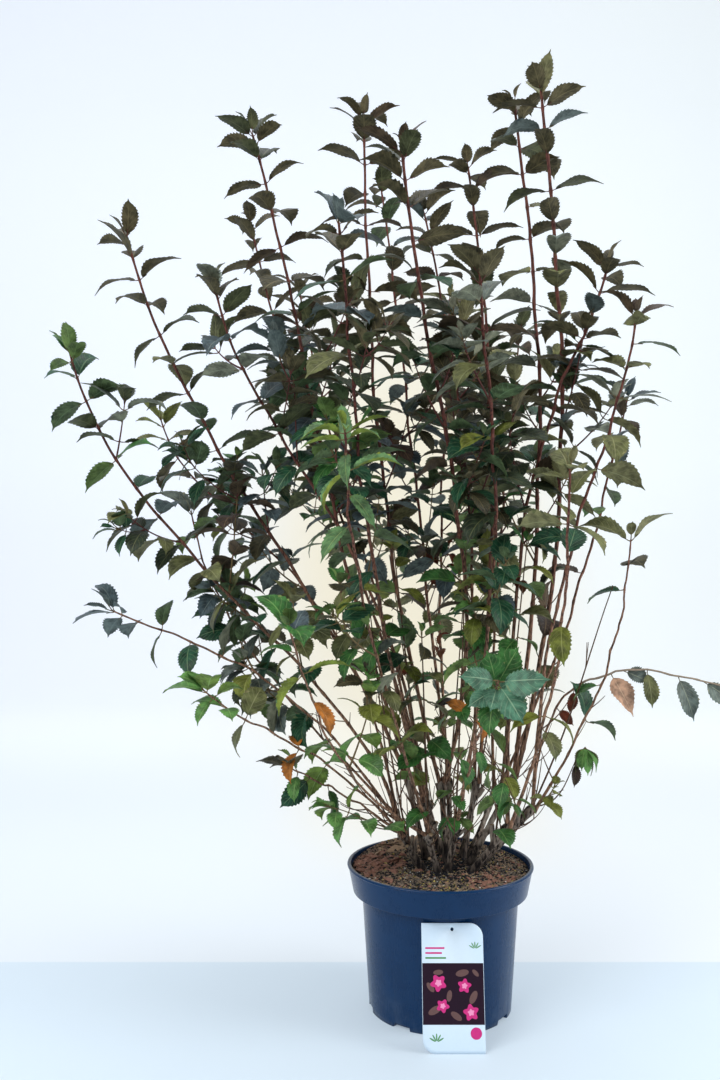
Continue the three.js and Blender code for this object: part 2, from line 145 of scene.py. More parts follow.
# The shoots in their order round each stool, in mm: stool, mid, tip, how far the end turns upright, and the
# share of the length up to which the shoot is bare. True marks one whose bare part is a bough of its own.
SHOOTS = {
    "left_short": ("left", (-290, 140, 740), (-495, 200, 980), 0.6, 0.32, False),
    "left_under": ("left", (-330, 50, 595), (-420, 80, 805), 0.5, 0.28, False),
    "far_left": ("left", (-325, -30, 655), (-590, -60, 1055), 0.6, 0.24, True),
    "low_left": ("low_left", (-300, -60, 550), (-510, -110, 650), 0, 0.26, False),
    "lowest_left": ("low_left", (-165, -45, 357), (-240, -90, 405), 0, 0.3, False),
    "low_front_left": ("low_left", (-235, -100, 445), (-360, -170, 535), 0.2, 0.28, False),
    "left": ("mid_left", (-300, 60, 795), (-535, 100, 1285), 0.45, 0.25, True),
    "left_tall": ("mid_left", (-200, 10, 930), (-305, -20, 1415), -0.3, 0.27, True),
    "left_inner": ("inner_left", (-190, -60, 820), (-350, -130, 1140), 0.6, 0.27, True),
    "centre_left": ("inner_left", (-130, -150, 860), (-160, -300, 1190), -0.3, 0.26, True),
    "front_left": ("front_left", (-140, -235, 745), (-150, -400, 895), -0.3, 0.32, False),
    "front_low": ("front_left", (-170, -190, 455), (-225, -330, 640), 0.1, 0.3, False),
    "right_front": ("front", (70, -160, 835), (35, -270, 1130), 0.5, 0.24, True),
    "front_right": ("front", (35, -230, 470), (45, -390, 580), 0, 0.3, False),
    "centre_tall": ("centre", (-100, 20, 925), (-125, 50, 1470), 0.5, 0.27, True),
    "centre_front": ("centre", (15, -110, 835), (-70, -210, 1320), 0.5, 0.24, True),
    "back_left": ("back_left", (-150, 300, 835), (-255, 440, 1270), 0.3, 0.28, True),
    "left_back": ("back_left", (-185, 190, 855), (-340, 290, 1365), 0.3, 0.28, True),
    "back_middle": ("back", (25, 300, 795), (55, 470, 1260), 0.3, 0.28, True),
    "centre_back": ("back", (-40, 210, 970), (-90, 320, 1440), -0.2, 0.28, True),
    "centre_right": ("inner_right", (50, 120, 920), (-15, 180, 1350), -0.3, 0.28, True),
    "right_inner": ("inner_right", (95, 100, 990), (60, 140, 1420), -0.4, 0.28, True),
    "back_right": ("back_right", (135, 260, 795), (195, 430, 1190), 0.3, 0.28, True),
    "right_behind": ("back_right", (265, 130, 710), (365, 230, 1020), 0, 0.32, False),
    "right_tall": ("tall_right", (175, 75, 1030), (135, 95, 1515), -0.4, 0.27, True),
    "right_highest": ("tall_right", (200, 0, 990), (170, 30, 1520), -0.25, 0.27, True),
    "right_reach": ("right", (275, 10, 540), (495, -20, 510), -0.2, 0.46, False),
    "right_outer": ("right", (210, -110, 805), (290, -120, 1100), 0.6, 0.32, False),
    "right_low": ("right", (270, -50, 580), (295, -70, 760), 0.4, 0.42, False),
    "right_side": ("low_right", (165, -60, 940), (260, -60, 1190), 0.4, 0.3, False),
    "front_side": ("low_right", (160, -200, 615), (150, -320, 855), 0.3, 0.3, False),
}
BARE_SHARE, HAS_BOUGH = 4, 5  # where a row has these

PALE_SHOOT = "right_reach"  # long and low, with pale bark and its own few leaves

# How many side twigs a shoot has, next to the 1 of those that aren't named.
FULLNESS = {
    "right_low": 0, "right_reach": 0, "right_outer": 0.4, "right_behind": 0.4, "right_side": 0.5,
    "right_tall": 0.8, "right_highest": 0.8, "back_right": 0.6, "right_inner": 0.9, "front_side": 0.45,
    "lowest_left": 0.5, "front_low": 0.6, "low_front_left": 0.6, "left_under": 0.9, "low_left": 0.85,
}
# How thick a shoot's stem is, next to the growing rule's. Those that aren't named have USUAL_STEM.
USUAL_STEM = 0.97
SLENDER = {
    "right_reach": 0.6, "right_low": 0.62, "right_outer": 0.85, "right_behind": 0.8, "lowest_left": 0.55,
    "low_front_left": 0.6, "low_left": 0.66, "left_under": 0.62, "left_short": 0.66, "far_left": 0.85,
    "front_low": 0.6, "front_left": 0.75, "front_right": 0.7, "front_side": 0.8, "right_tall": 1.15,
    "right_highest": 1.2, "centre_front": 1.08, "back_left": 0.8, "left_back": 0.85, "back_middle": 0.8,
    "centre_back": 0.85, "back_right": 0.8, "centre_right": 0.85, "left_inner": 0.85, "centre_left": 0.9,
}


# ---------------------------------------------------------------- meshes


def unit(v):
    """v divided by its length, along the last axis."""
    v = np.asarray(v, float)
    return v / np.maximum(np.linalg.norm(v, axis=-1, keepdims=True), 1e-9)


def ramp(over, span):
    """0 below nothing, 1 from span on, and straight between them."""
    return np.clip(over / span, 0, 1)


def turns(count):
    """Angles evenly round a circle."""
    return np.linspace(0, 2 * np.pi, count, endpoint=False)


def steady(axis):
    """The coordinate axis that lies most nearly across a direction."""
    return np.eye(3)[np.argmin(np.abs(axis), axis=-1)]


def new_object(name, data):
    """An object of the scene that shows a mesh, a lamp or a camera."""
    made = bpy.data.objects.new(name, data)
    bpy.context.scene.collection.objects.link(made)
    return made


def add_piece(name, points, faces, materials, slot, replaces=(), indices=None, uv=None, smooth=True,
              crisp=None):
    """One object from an array of points and a list of face arrays, all faces of an array with as many
    corners. crisp tells from the two ends of each edge whether it stays unsmoothed."""
    mesh = bpy.data.meshes.new(name)
    mesh.vertices.add(len(points))
    mesh.vertices.foreach_set("co", np.asarray(points, np.float32).ravel())
    corners = np.concatenate([f.ravel() for f in faces])
    sizes = np.concatenate([np.full(len(f), f.shape[1]) for f in faces])
    mesh.loops.add(len(corners))
    mesh.loops.foreach_set("vertex_index", corners.astype(np.int32))
    mesh.polygons.add(len(sizes))
    mesh.polygons.foreach_set("loop_start", (np.cumsum(sizes) - sizes).astype(np.int32))
    mesh.polygons.foreach_set("use_smooth", np.full(len(sizes), smooth))
    for material in materials:
        mesh.materials.append(material)
    if indices is not None:
        mesh.polygons.foreach_set("material_index", np.asarray(indices, np.int32))
    if uv is not None:
        layer = mesh.uv_layers.new(name="blade")
        layer.data.foreach_set("uv", np.asarray(uv, np.float32)[corners].ravel())
    mesh.update(calc_edges=True)
    if crisp is not None:
        ends = np.zeros(2 * len(mesh.edges), np.int32)
        mesh.edges.foreach_get("vertices", ends)
        sharp = mesh.attributes.new("sharp_edge", "BOOLEAN", "EDGE")
        sharp.data.foreach_set("value", crisp(ends[0::2], ends[1::2]))
    piece = new_object(name, mesh)
    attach(piece, "root")
    if replaces:
        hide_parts(*replaces)
    return piece


def grid_quads(rows, columns, wrap):
    """Quads of a grid whose point (i, j) is number i * columns + j; wrap closes it along j."""
    i = np.arange(rows - 1)[:, None]
    j = np.arange(columns if wrap else columns - 1)[None, :]
    k = (j + 1) % columns
    here, above = i * columns, (i + 1) * columns
    return np.stack([here + j, here + k, above + k, above + j], axis=-1).reshape(-1, 4)


def join_parts(parts):
    """Points and face arrays of many parts as one: a part's faces count up from the points before it."""
    points, faces, offset = [], [], 0
    for part_points, part_faces in parts:
        points.append(part_points)
        faces += [f + offset for f in part_faces]
        offset += len(part_points)
    return np.concatenate(points), faces


def tubes(paths, reach, sides, ref=None):
    """Many closed tubes at once, each through as many points: paths (n, s, 3), and how far the points round
    them lie off, (n, s, 1) or (n, s, sides). The first of those points is square to ref, which is else the
    axis that lies most nearly across the tube."""
    count, steps = paths.shape[:2]
    heading = unit(np.gradient(paths, axis=1))
    if ref is None:
        ref = steady(paths[:, -1] - paths[:, 0])[:, None]
    side = unit(np.cross(np.broadcast_to(ref, heading.shape), heading))
    other = np.cross(heading, side)
    turn = turns(sides)[:, None]
    ring = np.cos(turn) * side[:, :, None] + np.sin(turn) * other[:, :, None]
    points = paths[:, :, None] + reach[..., None] * ring
    offset = (np.arange(count) * steps * sides)[:, None, None]
    quads = (grid_quads(steps, sides, True)[None] + offset).reshape(-1, 4)
    ends = np.stack([np.arange(sides)[::-1], (steps - 1) * sides + np.arange(sides)])
    return points.reshape(-1, 3), [quads, (ends[None] + offset).reshape(-1, sides)]


# ---------------------------------------------------------------- courses


def bezier(controls, steps=240):
    """Points of a Bezier curve by repeated blending of its controls."""
    u = np.linspace(0, 1, steps)[:, None]
    level = [np.asarray(c, float)[None] for c in controls]
    while len(level) > 1:
        level = [(1 - u) * a + u * b for a, b in zip(level, level[1:])]
    return level[0]


class Course:
    """A smooth line that is read by length from its start."""

    def __init__(self, points):
        self.points = points
        self.lengths = np.concatenate([[0], np.cumsum(np.linalg.norm(np.diff(points, axis=0), axis=1))])
        self.length = self.lengths[-1]

    def at(self, s):
        """The point at a length from the start."""
        s = np.asarray(s, float)
        return np.stack([np.interp(s, self.lengths, self.points[:, k]) for k in range(3)], axis=-1)

    def heading(self, s):
        """The direction there, from points a little before and after."""
        step = min(0.004, self.length / 4)
        low = np.clip(np.asarray(s) - step, 0, self.length - 2 * step)
        return unit(self.at(low + 2 * step) - self.at(low))


def across(axis, ref):
    """Two directions square to an axis, the first one level where ref is upright."""
    side = unit(np.cross(ref, axis))
    return side, np.cross(side, axis)


def siblings(stool):
    """The names of the shoots on a stool."""
    return [name for name, shoot in SHOOTS.items() if shoot[0] == stool]


def socket_ring(stool):
    """Radius of the ring on a stool's top on which its shoots stand side by side."""
    needed = (2 * SHOOT_FOOT_RADIUS + SHOOT_SPARE) / (2 * np.sin(np.pi / len(siblings(stool))))
    return max(SHOOT_FOOT_RADIUS, needed)


def stool_course(stool):
    """From its foot to its top, bent so that it leaves the soil low and turns upright."""
    _, (x, y), top, _ = STOOLS[stool]
    start = np.array([x * MM, y * MM, SOIL_FLAT_HEIGHT + GAP])
    end = np.array(top) * MM
    bend = (start + end) / 2 - UP * 0.06 * (end[2] - start[2])
    return Course(bezier([start, bend, end]))


def shoot_course(name):
    """From its place on the stool's top, through mid half way, to its tip, swaying a little off that line."""
    stool, mid, tip, rise, _, _ = SHOOTS[name]
    course = stool_course(stool)
    order = siblings(stool)
    turn = np.radians(STOOLS[stool][3] + 360 / len(order) * order.index(name))
    level, steep = across(course.heading(course.length), BACK)
    start = course.points[-1] + socket_ring(stool) * (np.cos(turn) * level - np.sin(turn) * steep)
    mid, tip = np.array(mid) * MM, np.array(tip) * MM
    end = tip - mid
    reach = np.linalg.norm(end) * 2 / 3
    second = tip - reach * unit(unit(end) * (1 - rise) + UP * rise)
    first = (8 * mid - start - tip) / 3 - second
    foot = start - 0.008 * unit(first - start)
    points = bezier([foot, first, second, tip])
    share = np.linspace(0, 1, len(points))
    phase = 1.7 * order.index(name) + len(name)
    sway = [np.sin(22 * share + phase + k) + 0.45 * np.sin(47 * share + 2 * phase - k)
            + 0.2 * np.sin(110 * share + 3 * phase + 2 * k) for k in range(3)]
    return Course(points + SWAY * np.sin(np.pi * share)[:, None] * np.stack(sway, axis=-1))


# ---------------------------------------------------------------- shader maths


class Wire:
    """A shader socket on which sums and products add Math nodes."""

    def __init__(self, tree, socket):
        self.tree = tree
        self.socket = socket

    def node(self, kind, settings=None, **inputs):
        """A node of a kind, with its settings made first and its sockets then given values or links."""
        made = self.tree.nodes.new(kind)
        for key, value in (settings or {}).items():
            setattr(made, key, value)
        for key, value in inputs.items():
            socket = made.inputs[int(key[1:])] if key[0] == "i" and key[1:].isdigit() else made.inputs[key]
            if isinstance(value, Wire):
                self.tree.links.new(value.socket, socket)
            else:
                socket.default_value = value
        return made

    def math(self, operation, other=0.0, flip=False):
        """This and another number through a Math node, or the other and this where flip is set."""
        a, b = (other, self) if flip else (self, other)
        made = self.node("ShaderNodeMath", {"operation": operation}, i0=a, i1=b)
        return Wire(self.tree, made.outputs[0])

    def __add__(self, other):
        return self.math("ADD", other)

    def __mul__(self, other):
        return self.math("MULTIPLY", other)

    __radd__, __rmul__ = __add__, __mul__

    def __sub__(self, other):
        return self.math("SUBTRACT", other)

    def __rsub__(self, other):
        return self.math("SUBTRACT", other, flip=True)

    def smooth(self, low, high, start=0.0, end=1.0):
        """start below low, end above high, and a smooth step between them."""
        made = self.node("ShaderNodeMapRange", {"interpolation_type": "SMOOTHSTEP"},
                         i0=self, i1=low, i2=high, i3=start, i4=end)
        return Wire(self.tree, made.outputs[0])

    def mix(self, first, second):
        """first where this is 0 and second where it is 1; both are colours."""
        made = self.node("ShaderNodeMix", {"data_type": "RGBA"}, i0=self, i6=first, i7=second)
        return Wire(self.tree, made.outputs[2])


def srgb(red, green, blue):
    """A colour given as 0 to 255 on a screen, as the linear numbers that a shader takes."""
    share = np.array([red, green, blue]) / 255
    linear = np.where(share <= 0.04045, share / 12.92, ((share + 0.055) / 1.055) ** 2.4)
    return (*linear.tolist(), 1.0)


class Finish:
    """One material: its shader, where a point is, and noise."""

    def __init__(self, name):
        self.material = bpy.data.materials.new(name)
        self.material.use_nodes = True
        self.tree = self.material.node_tree
        self.shader = self.tree.nodes["Principled BSDF"]
        where = self.tree.nodes.new("ShaderNodeTexCoord")
        self.place = Wire(self.tree, where.outputs["Object"])
        self.blade = Wire(self.tree, where.outputs["UV"])

    def part(self, wire, axis):
        """One coordinate of a place: 0, 1 or 2 for x, y or z."""
        made = self.place.node("ShaderNodeSeparateXYZ", None, i0=wire)
        return Wire(self.tree, made.outputs[axis])

    def noise(self, scale, detail=3.0, stretch=(1, 1, 1)):
        """Noise of about scale grains a metre, drawn out along an axis whose stretch is under 1."""
        place = self.place.node("ShaderNodeMapping", None, Vector=self.place, Scale=stretch)
        made = self.place.node("ShaderNodeTexNoise", None, Vector=Wire(self.tree, place.outputs[0]),
                               Scale=scale, Detail=detail, Roughness=0.55)
        return Wire(self.tree, made.outputs[0])

    def far(self, x, y):
        """Level distance from an upright line at (x, y)."""
        dx, dy = self.part(self.place, 0) - x, self.part(self.place, 1) - y
        return (dx * dx + dy * dy).math("SQRT")

    def set(self, socket, value):
        """Links a pattern to a socket of the shader, or sets the socket's own number or colour."""
        if isinstance(value, Wire):
            self.tree.links.new(value.socket, self.shader.inputs[socket])
        else:
            self.shader.inputs[socket].default_value = value
        return self

    def skin(self, colour, roughness, shine):
        """Sets the shader's colour, roughness and shine."""
        self.set("Base Color", colour).set("Roughness", roughness)
        return self.set("Specular IOR Level", shine)

    def bump(self, height, strength, distance):
        """Tilts the shader's normal as if the surface rose by a pattern."""
        made = self.place.node("ShaderNodeBump", None, Height=height, Strength=strength, Distance=distance)
        return self.set("Normal", Wire(self.tree, made.outputs[0]))


# ---------------------------------------------------------------- materials


def pot_plastic():
    """Dark blue satin plastic with faint mottling, fine scratches and a little dust low down."""
    f = Finish("pot_plastic")
    height = f.part(f.place, 2)
    dust = (1 - height.smooth(0.0, 0.07)) * f.noise(38, 6).smooth(0.42, 0.75) * 0.35
    mottle = f.noise(26, 5).smooth(0.3, 0.75)
    blue = mottle.mix(srgb(1, 42, 79), srgb(4, 47, 86))
    scratches = f.noise(900, 2, (1, 1, 0.06))
    f.skin((dust * 0.6).mix(blue, srgb(96, 112, 130)), 0.22 + 0.05 * mottle + 0.08 * scratches, 0.22)
    return f.bump(scratches + 0.6 * f.noise(120, 3), 0.1, 0.0004).material


def soil_peat():
    """Peat: brown, red-brown in patches and to the left, and nearly black and blue-grey round the stools,
    where the dark is painted shade."""
    f = Finish("soil_peat")
    crumbs = f.noise(380, 6).smooth(0.36, 0.68)
    patches = f.noise(46, 5).smooth(0.48, 0.64)
    brown = crumbs.mix(srgb(20, 20, 22), srgb(156, 144, 130))
    red = crumbs.mix(srgb(38, 29, 28), srgb(170, 134, 120))
    black = crumbs.mix(srgb(12, 15, 21), srgb(100, 110, 120))
    left = f.part(f.place, 0).smooth(-0.115, -0.05, 0.6, 0.0)
    # painted shade: round the stools' feet the peat turns nearly black and blue-grey
    painted_foot_shade = 1 - f.far(0.012, -0.012).smooth(0.02, 0.085)
    f.skin(painted_foot_shade.mix((0.28 * patches + left).mix(brown, red), black), 0.93, 0.1)
    return f.bump(crumbs, 0.9, 0.0022).material


def shades(colour, *shares):
    """A colour times each of the shares."""
    return [tuple(c * share for c in colour[:3]) + (1.0,) for share in shares]


def plain(name, colour, roughness, grain=0.0, drift=0.72):
    """One colour that drifts to a share of itself, with a fine grain."""
    f = Finish(name)
    f.skin(f.noise(190, 3).smooth(0.3, 0.75).mix(*shades(colour, drift, 1.0)), roughness, 0.2)
    if grain:
        f.bump(f.noise(700, 3), grain, 0.0005)
    return f.material


def old_bark():
    """Grey-brown fissured bark, darker in its cracks, with pale flaking patches, and painted shade that
    darkens it near the soil.
    """
    f = Finish("old_bark")
    strands = f.noise(230, 7, (1, 1, 0.2))
    flakes = f.noise(75, 5, (1, 1, 0.35)).smooth(0.52, 0.66)
    wood = strands.smooth(0.4, 0.6).mix(srgb(38, 32, 30), srgb(142, 128, 116))
    wood = (flakes * 0.6).mix(wood, srgb(178, 166, 154))
    # painted shade: within a few centimetres of the soil the bark turns nearly black
    painted_foot_shade = 1 - f.part(f.place, 2).smooth(0.222, 0.275)
    f.skin((painted_foot_shade * 0.8).mix(wood, srgb(24, 25, 30)), 0.9, 0.15)
    return f.bump(strands, 0.8, 0.0018).material


def shoot_bark():
    """Streaked bark of the long shoots: brown at the foot, dark red-brown towards the tips."""
    f = Finish("shoot_bark")
    strands = f.noise(420, 5, (1, 1, 0.2)).smooth(0.32, 0.68)
    height = f.part(f.place, 2)
    low = strands.mix(srgb(55, 38, 32), srgb(164, 126, 101))
    high = strands.mix(srgb(50, 29, 27), srgb(114, 66, 56))
    f.skin(height.smooth(0.45, 0.9).mix(low, high), 0.6, 0.16)
    return f.bump(strands, 0.5, 0.0006).material


VEIN_LEAN = 0.62  # how far the side veins run forward on their way out
VEIN_WAVE = 44.0  # radians of the side veins' wave from a blade's foot to its point, seven veins a side


def leaf_side(name, colour, vein, gloss, vein_strength):
    """One side of a leaf: tone that drifts over it, a pale midrib and side veins that run forward from it."""
    f = Finish(name)
    along = f.part(f.blade, 0)
    side = (f.part(f.blade, 1) - 0.5).math("ABSOLUTE")
    midrib = 1 - side.smooth(0.008, 0.034)
    wave = ((along - VEIN_LEAN * side) * VEIN_WAVE).math("SINE")
    ribs = wave.smooth(0.66, 0.97) * side.smooth(0.03, 0.1)
    tone = f.noise(75, 4).smooth(0.3, 0.72)
    body = tone.mix(*shades(colour, 0.4, 1.16))
    f.skin((vein_strength * (midrib + 0.32 * ribs)).mix(body, vein), gloss + 0.12 * tone, 0.2)
    return f.bump(f.noise(520, 2) - 0.9 * ribs, 0.7, 0.0008).material


# ---------------------------------------------------------------- leaves

BLADE_ROWS = 6
BEND_STEPS = 160  # in which the bend of a blade's centre line is summed up
LEAVES_A_PIECE = 1200

# Each tone's upper side, underside, vein and roughness.
TONES = {
    "bronze": ((64, 62, 44), (96, 88, 62), (138, 126, 88), 0.4),
    "umber": ((60, 46, 38), (92, 76, 58), (122, 104, 76), 0.42),
    "shade": ((44, 56, 40), (86, 90, 60), (120, 122, 84), 0.38),
    "teal": ((30, 72, 50), (90, 108, 72), (118, 146, 106), 0.34),
    "sea": ((78, 122, 98), (112, 136, 102), (156, 182, 150), 0.36),
    "green": ((56, 106, 50), (110, 134, 72), (130, 162, 98), 0.38),
    "fresh": ((92, 140, 72), (128, 154, 72), (160, 188, 120), 0.42),
    "young": ((92, 130, 84), (134, 148, 58), (156, 176, 108), 0.42),
    "olive": ((108, 116, 46), (130, 134, 66), (158, 160, 98), 0.45),
    "sage": ((100, 104, 64), (130, 126, 86), (154, 154, 112), 0.45),
    "ashen": ((104, 116, 110), (138, 140, 118), (162, 168, 142), 0.42),
    "slate": ((70, 86, 92), (106, 118, 114), (128, 142, 138), 0.4),
    "blush": ((186, 148, 122), (198, 142, 108), (206, 176, 148), 0.5),
    "amber": ((182, 112, 44), (166, 108, 60), (196, 150, 98), 0.5),
    "russet": ((104, 48, 30), (108, 64, 42), (122, 82, 56), 0.7),
}
RED_STALKED = ("bronze", "umber", "shade", "russet")
STALK_SAG = 0.0004
STALK_RADII = (0.001, 0.0005)  # at its foot and at its end
STALK_SIDES = 4


class Foliage:
    """Collects leaves by tone and twigs by kind while the shoots grow."""

    def __init__(self):
        self.leaves = {tone: [] for tone in TONES}
        self.stalks = {"stalks_red": [], "stalks_green": []}
        self.twigs = {"twigs_red": [], "twigs_green": [], "twigs_dry": []}

    def add_leaf(self, tone, spot, direction, roll, length, width, arch, fold, rng, petiole=PETIOLE,
                 facing=UP):
        """A stalk from the spot, then the blade: base, direction, upward normal and shape numbers."""
        direction = unit(direction)
        upward = unit(facing - direction * (facing @ direction) + 1e-4)
        side = np.cross(upward, direction)
        upward = upward * np.cos(roll) + side * np.sin(roll)
        base = spot + direction * petiole
        twist, recurve = rng.normal(0, 0.22), rng.uniform(0.15, 0.6)
        phase, skew = rng.uniform(0, ROUND), rng.normal(0, 0.12)
        shape = [length, width, arch, fold, twist, recurve, phase, skew]
        self.leaves[tone].append(np.concatenate([base, direction, upward, shape]))
        kind = "stalks_red" if tone in RED_STALKED else "stalks_green"
        middle, end = (spot + base) / 2 - STALK_SAG * upward, base + direction * 0.12 * length
        self.stalks[kind].append(np.stack([spot, middle, base, end]))

    def add_twig(self, kind, course, thick=1.0):
        """A bare twig along a course, thick times the usual radius."""
        self.twigs[kind].append((course.at(np.linspace(0, course.length, TWIG_STEPS)), thick))


def blade_surface(rows):
    """Many leaves at once. A blade's centre line bends by arch * t ** 1.4 from its first direction. Its half
    width is (4 s (1 - s)) ** 0.76 of the full one, s = (t / 0.9) ** 0.95, with a drawn-out point. Two teeth a
    row let it in and out. Its halves rise by fold, dome between midrib and margin, and turn down again and
    wave at the margin. The underside runs from the lower midrib to the same margins."""
    rows = np.array(rows)
    count = len(rows)
    base, direction, upward = rows[:, 0:3], rows[:, 3:6], rows[:, 6:9]
    length, width, arch, fold, twist, recurve, phase, skew = (rows[:, 9 + k, None] for k in range(8))
    side = np.cross(upward, direction)
    notches = np.arange(BLADE_ROWS)[:, None] + np.array([0, 0.38, 0.5, 0.88])
    edge_t = np.append(notches.ravel(), BLADE_ROWS) / BLADE_ROWS
    row_t = np.arange(BLADE_ROWS + 1) / BLADE_ROWS
    tooth = np.append(np.tile([-1.0, 1.0, -1.0, 1.0], BLADE_ROWS), -1.0)
    tooth = tooth * np.clip(5 * edge_t, 0, 1) * np.clip(4 * (1 - edge_t), 0, 1)
    angle = 0.2 - arch * np.linspace(0, 1, BEND_STEPS + 1) ** 1.4
    forward = np.cumsum(np.cos(angle), axis=1) * length / BEND_STEPS
    rise = np.cumsum(np.sin(angle), axis=1) * length / BEND_STEPS
    forward, rise = forward - forward[:, :1], rise - rise[:, :1]

    def line(t, share, lift, teeth=0.0):
        """One lengthways line of the blade at a share of its half width, lifted off it."""
        s = np.clip((t / 0.9) ** 0.95, 0, 1)
        point = 0.15 * (1 - t) / 0.16 * (t > 0.84)
        outline = np.maximum((4 * s * (1 - s)) ** 0.76, point) + 0.012
        half = 0.5 * width * outline[None] * (1 + teeth + np.sign(share) * skew)
        wide = share * half
        off = abs(share)
        wave = 0.09 * half * off ** 2 * np.sin(9 * t[None] + phase * (1 if share > 0 else 2))
        high = half * (fold * off * (1 - recurve * off) + 0.22 * off * (1 - off)) + lift + wave
        turn = twist * t[None]
        y = wide * np.cos(turn) - high * np.sin(turn)
        z = wide * np.sin(turn) + high * np.cos(turn)
        at = (t * BEND_STEPS).round().astype(int)
        bend = angle[:, at]
        x = forward[:, at] - z * np.sin(bend)
        z = rise[:, at] + z * np.cos(bend)
        x, y, z = x[..., None], y[..., None], z[..., None]
        return base[:, None] + x * direction[:, None] + y * side[:, None] + z * upward[:, None]

    rim = np.minimum(0.1, TOOTH_DEPTH / width) * tooth
    margins = [line(edge_t, -1, 0, rim), line(edge_t, 1, 0, rim)]
    inside = [line(row_t, share, lift * LEAF_THICKNESS)
              for share, lift in ((-0.5, 1.0), (0, 0.6), (0.5, 1.0), (0, -1.8))]
    points = np.concatenate(margins + inside, axis=1)  # leaf, point, xyz
    edges, per_line = 4 * BLADE_ROWS + 1, BLADE_ROWS + 1
    left, right = 0, edges
    inner_left, mid, inner_right, under = (2 * edges + k * per_line for k in range(4))
    i = np.arange(BLADE_ROWS)[:, None]
    up, down = np.arange(5)[None], np.arange(4, -1, -1)[None]
    wide_faces = [np.concatenate([left + 4 * i + up, inner_left + i + 1, inner_left + i], axis=1),
                  np.concatenate([inner_right + i, inner_right + i + 1, right + 4 * i + down], axis=1),
                  np.concatenate([under + i, under + i + 1, left + 4 * i + down], axis=1),
                  np.concatenate([right + 4 * i + up, under + i + 1, under + i], axis=1)]
    quads = np.concatenate([np.concatenate([a + i, a + i + 1, b + i + 1, b + i], axis=1)
                            for a, b in ((inner_left, mid), (mid, inner_right))])
    ends = np.array([left, inner_left, mid, inner_right, right, under])
    tops = ends + np.array([edges - 1, BLADE_ROWS, BLADE_ROWS, BLADE_ROWS, edges - 1, BLADE_ROWS])
    total = points.shape[1]
    offset = (np.arange(count) * total)[:, None, None]
    faces = [(kind[None] + offset).reshape(-1, kind.shape[1])
             for kind in (np.concatenate(wide_faces), quads, np.stack([ends, tops[::-1]]))]
    below = np.tile(np.repeat([0, 0, 1, 1], BLADE_ROWS), count)
    indices = np.concatenate([below, np.zeros(count * (len(quads) + 2), int)])
    along = np.concatenate([edge_t, edge_t] + 4 * [row_t])
    over = np.repeat([0, 1, 0.25, 0.5, 0.75, 0.5], [edges, edges] + 4 * [per_line])
    uv = np.tile(np.stack([along, over], axis=-1), (count, 1))

    def margin(a, b):
        """True for an edge between two neighbours on the margin."""
        here, there = a % total, b % total
        return (here < 2 * edges) & (there < 2 * edges) & (np.abs(here - there) == 1)

    return points.reshape(-1, 3), faces, indices, uv, margin


# ---------------------------------------------------------------- growth


# The tone at the tips of some shoots, and how many of the leaf pairs nearest to the tip have it, where that
# isn't one.
TIP_TONES = {"front_left": "young", "low_left": "slate", "right_low": "sage", "low_front_left": "fresh",
             "left_short": "olive", "far_left": "green"}
TIP_PAIRS = {"front_left": 5, "low_left": 2}
AMBER_PAIRS = (("front_low", 3), ("low_front_left", 4))  # in autumn colour, counted from the tip

# The shares of the tones by height, each row from so many metres up, and those of the low front.
CROWN_TONES = (
    (1.1, {"bronze": 0.56, "umber": 0.12, "shade": 0.18, "teal": 0.03, "ashen": 0.03, "slate": 0.08,
           "sage": 0.03}),
    (0.95, {"bronze": 0.3, "umber": 0.1, "shade": 0.28, "teal": 0.16, "green": 0.02, "ashen": 0.04,
            "slate": 0.06, "sage": 0.07}),
    (0.75, {"bronze": 0.16, "umber": 0.08, "shade": 0.26, "teal": 0.24, "green": 0.09, "ashen": 0.03,
            "slate": 0.06, "olive": 0.02, "sage": 0.1}),
    (0.55, {"bronze": 0.12, "umber": 0.06, "shade": 0.08, "teal": 0.13, "green": 0.18, "ashen": 0.05,
            "slate": 0.02, "olive": 0.1, "fresh": 0.04, "russet": 0.03, "sage": 0.19}),
    (0.0, {"shade": 0.02, "teal": 0.1, "green": 0.27, "fresh": 0.12, "olive": 0.13, "ashen": 0.1,
           "amber": 0.05, "russet": 0.06, "sage": 0.16}),
)
FRONT_TONES = {"teal": 0.3, "green": 0.35, "young": 0.15, "ashen": 0.1, "sage": 0.1}
# What takes the place of some of those shares in the middle left and on the left side, and to the upper right
# paler tones, painted light where the leaves catch more light.
MIDDLE_LEFT_TONES = {"umber": 0.03, "bronze": 0.09, "teal": 0.38, "slate": 0.09}
LEFT_TONES = {"umber": 0.01, "bronze": 0.1, "teal": 0.3, "ashen": 0.08, "slate": 0.14, "amber": 0.0,
              "russet": 0.0}
RIGHT_PAINTED_LIGHT_TONES = {"umber": 0.02, "shade": 0.07, "sage": 0.3, "ashen": 0.17}


def pick_tone(rng, spot):
    """The tone of a spray: bronze in the upper crown, greener below, with autumn tints low down."""
    x, y, high = spot
    if y < -0.28 and high < 0.95:
        shares = FRONT_TONES
    else:
        shares = next(row for start, row in CROWN_TONES if high > start)
    if x < -0.03 and 0.7 < high < 1.04:
        shares = {**shares, **MIDDLE_LEFT_TONES}
    if x < -0.2 and high < 1.1:
        shares = {**shares, **LEFT_TONES}
    # painted light: paler tones on the upper right, where more light falls on the leaves
    if x > 0.12 and high > 0.75:
        shares = {**shares, **RIGHT_PAINTED_LIGHT_TONES}
    weights = np.array(list(shares.values()))
    return list(shares)[rng.choice(len(shares), p=weights / weights.sum())]


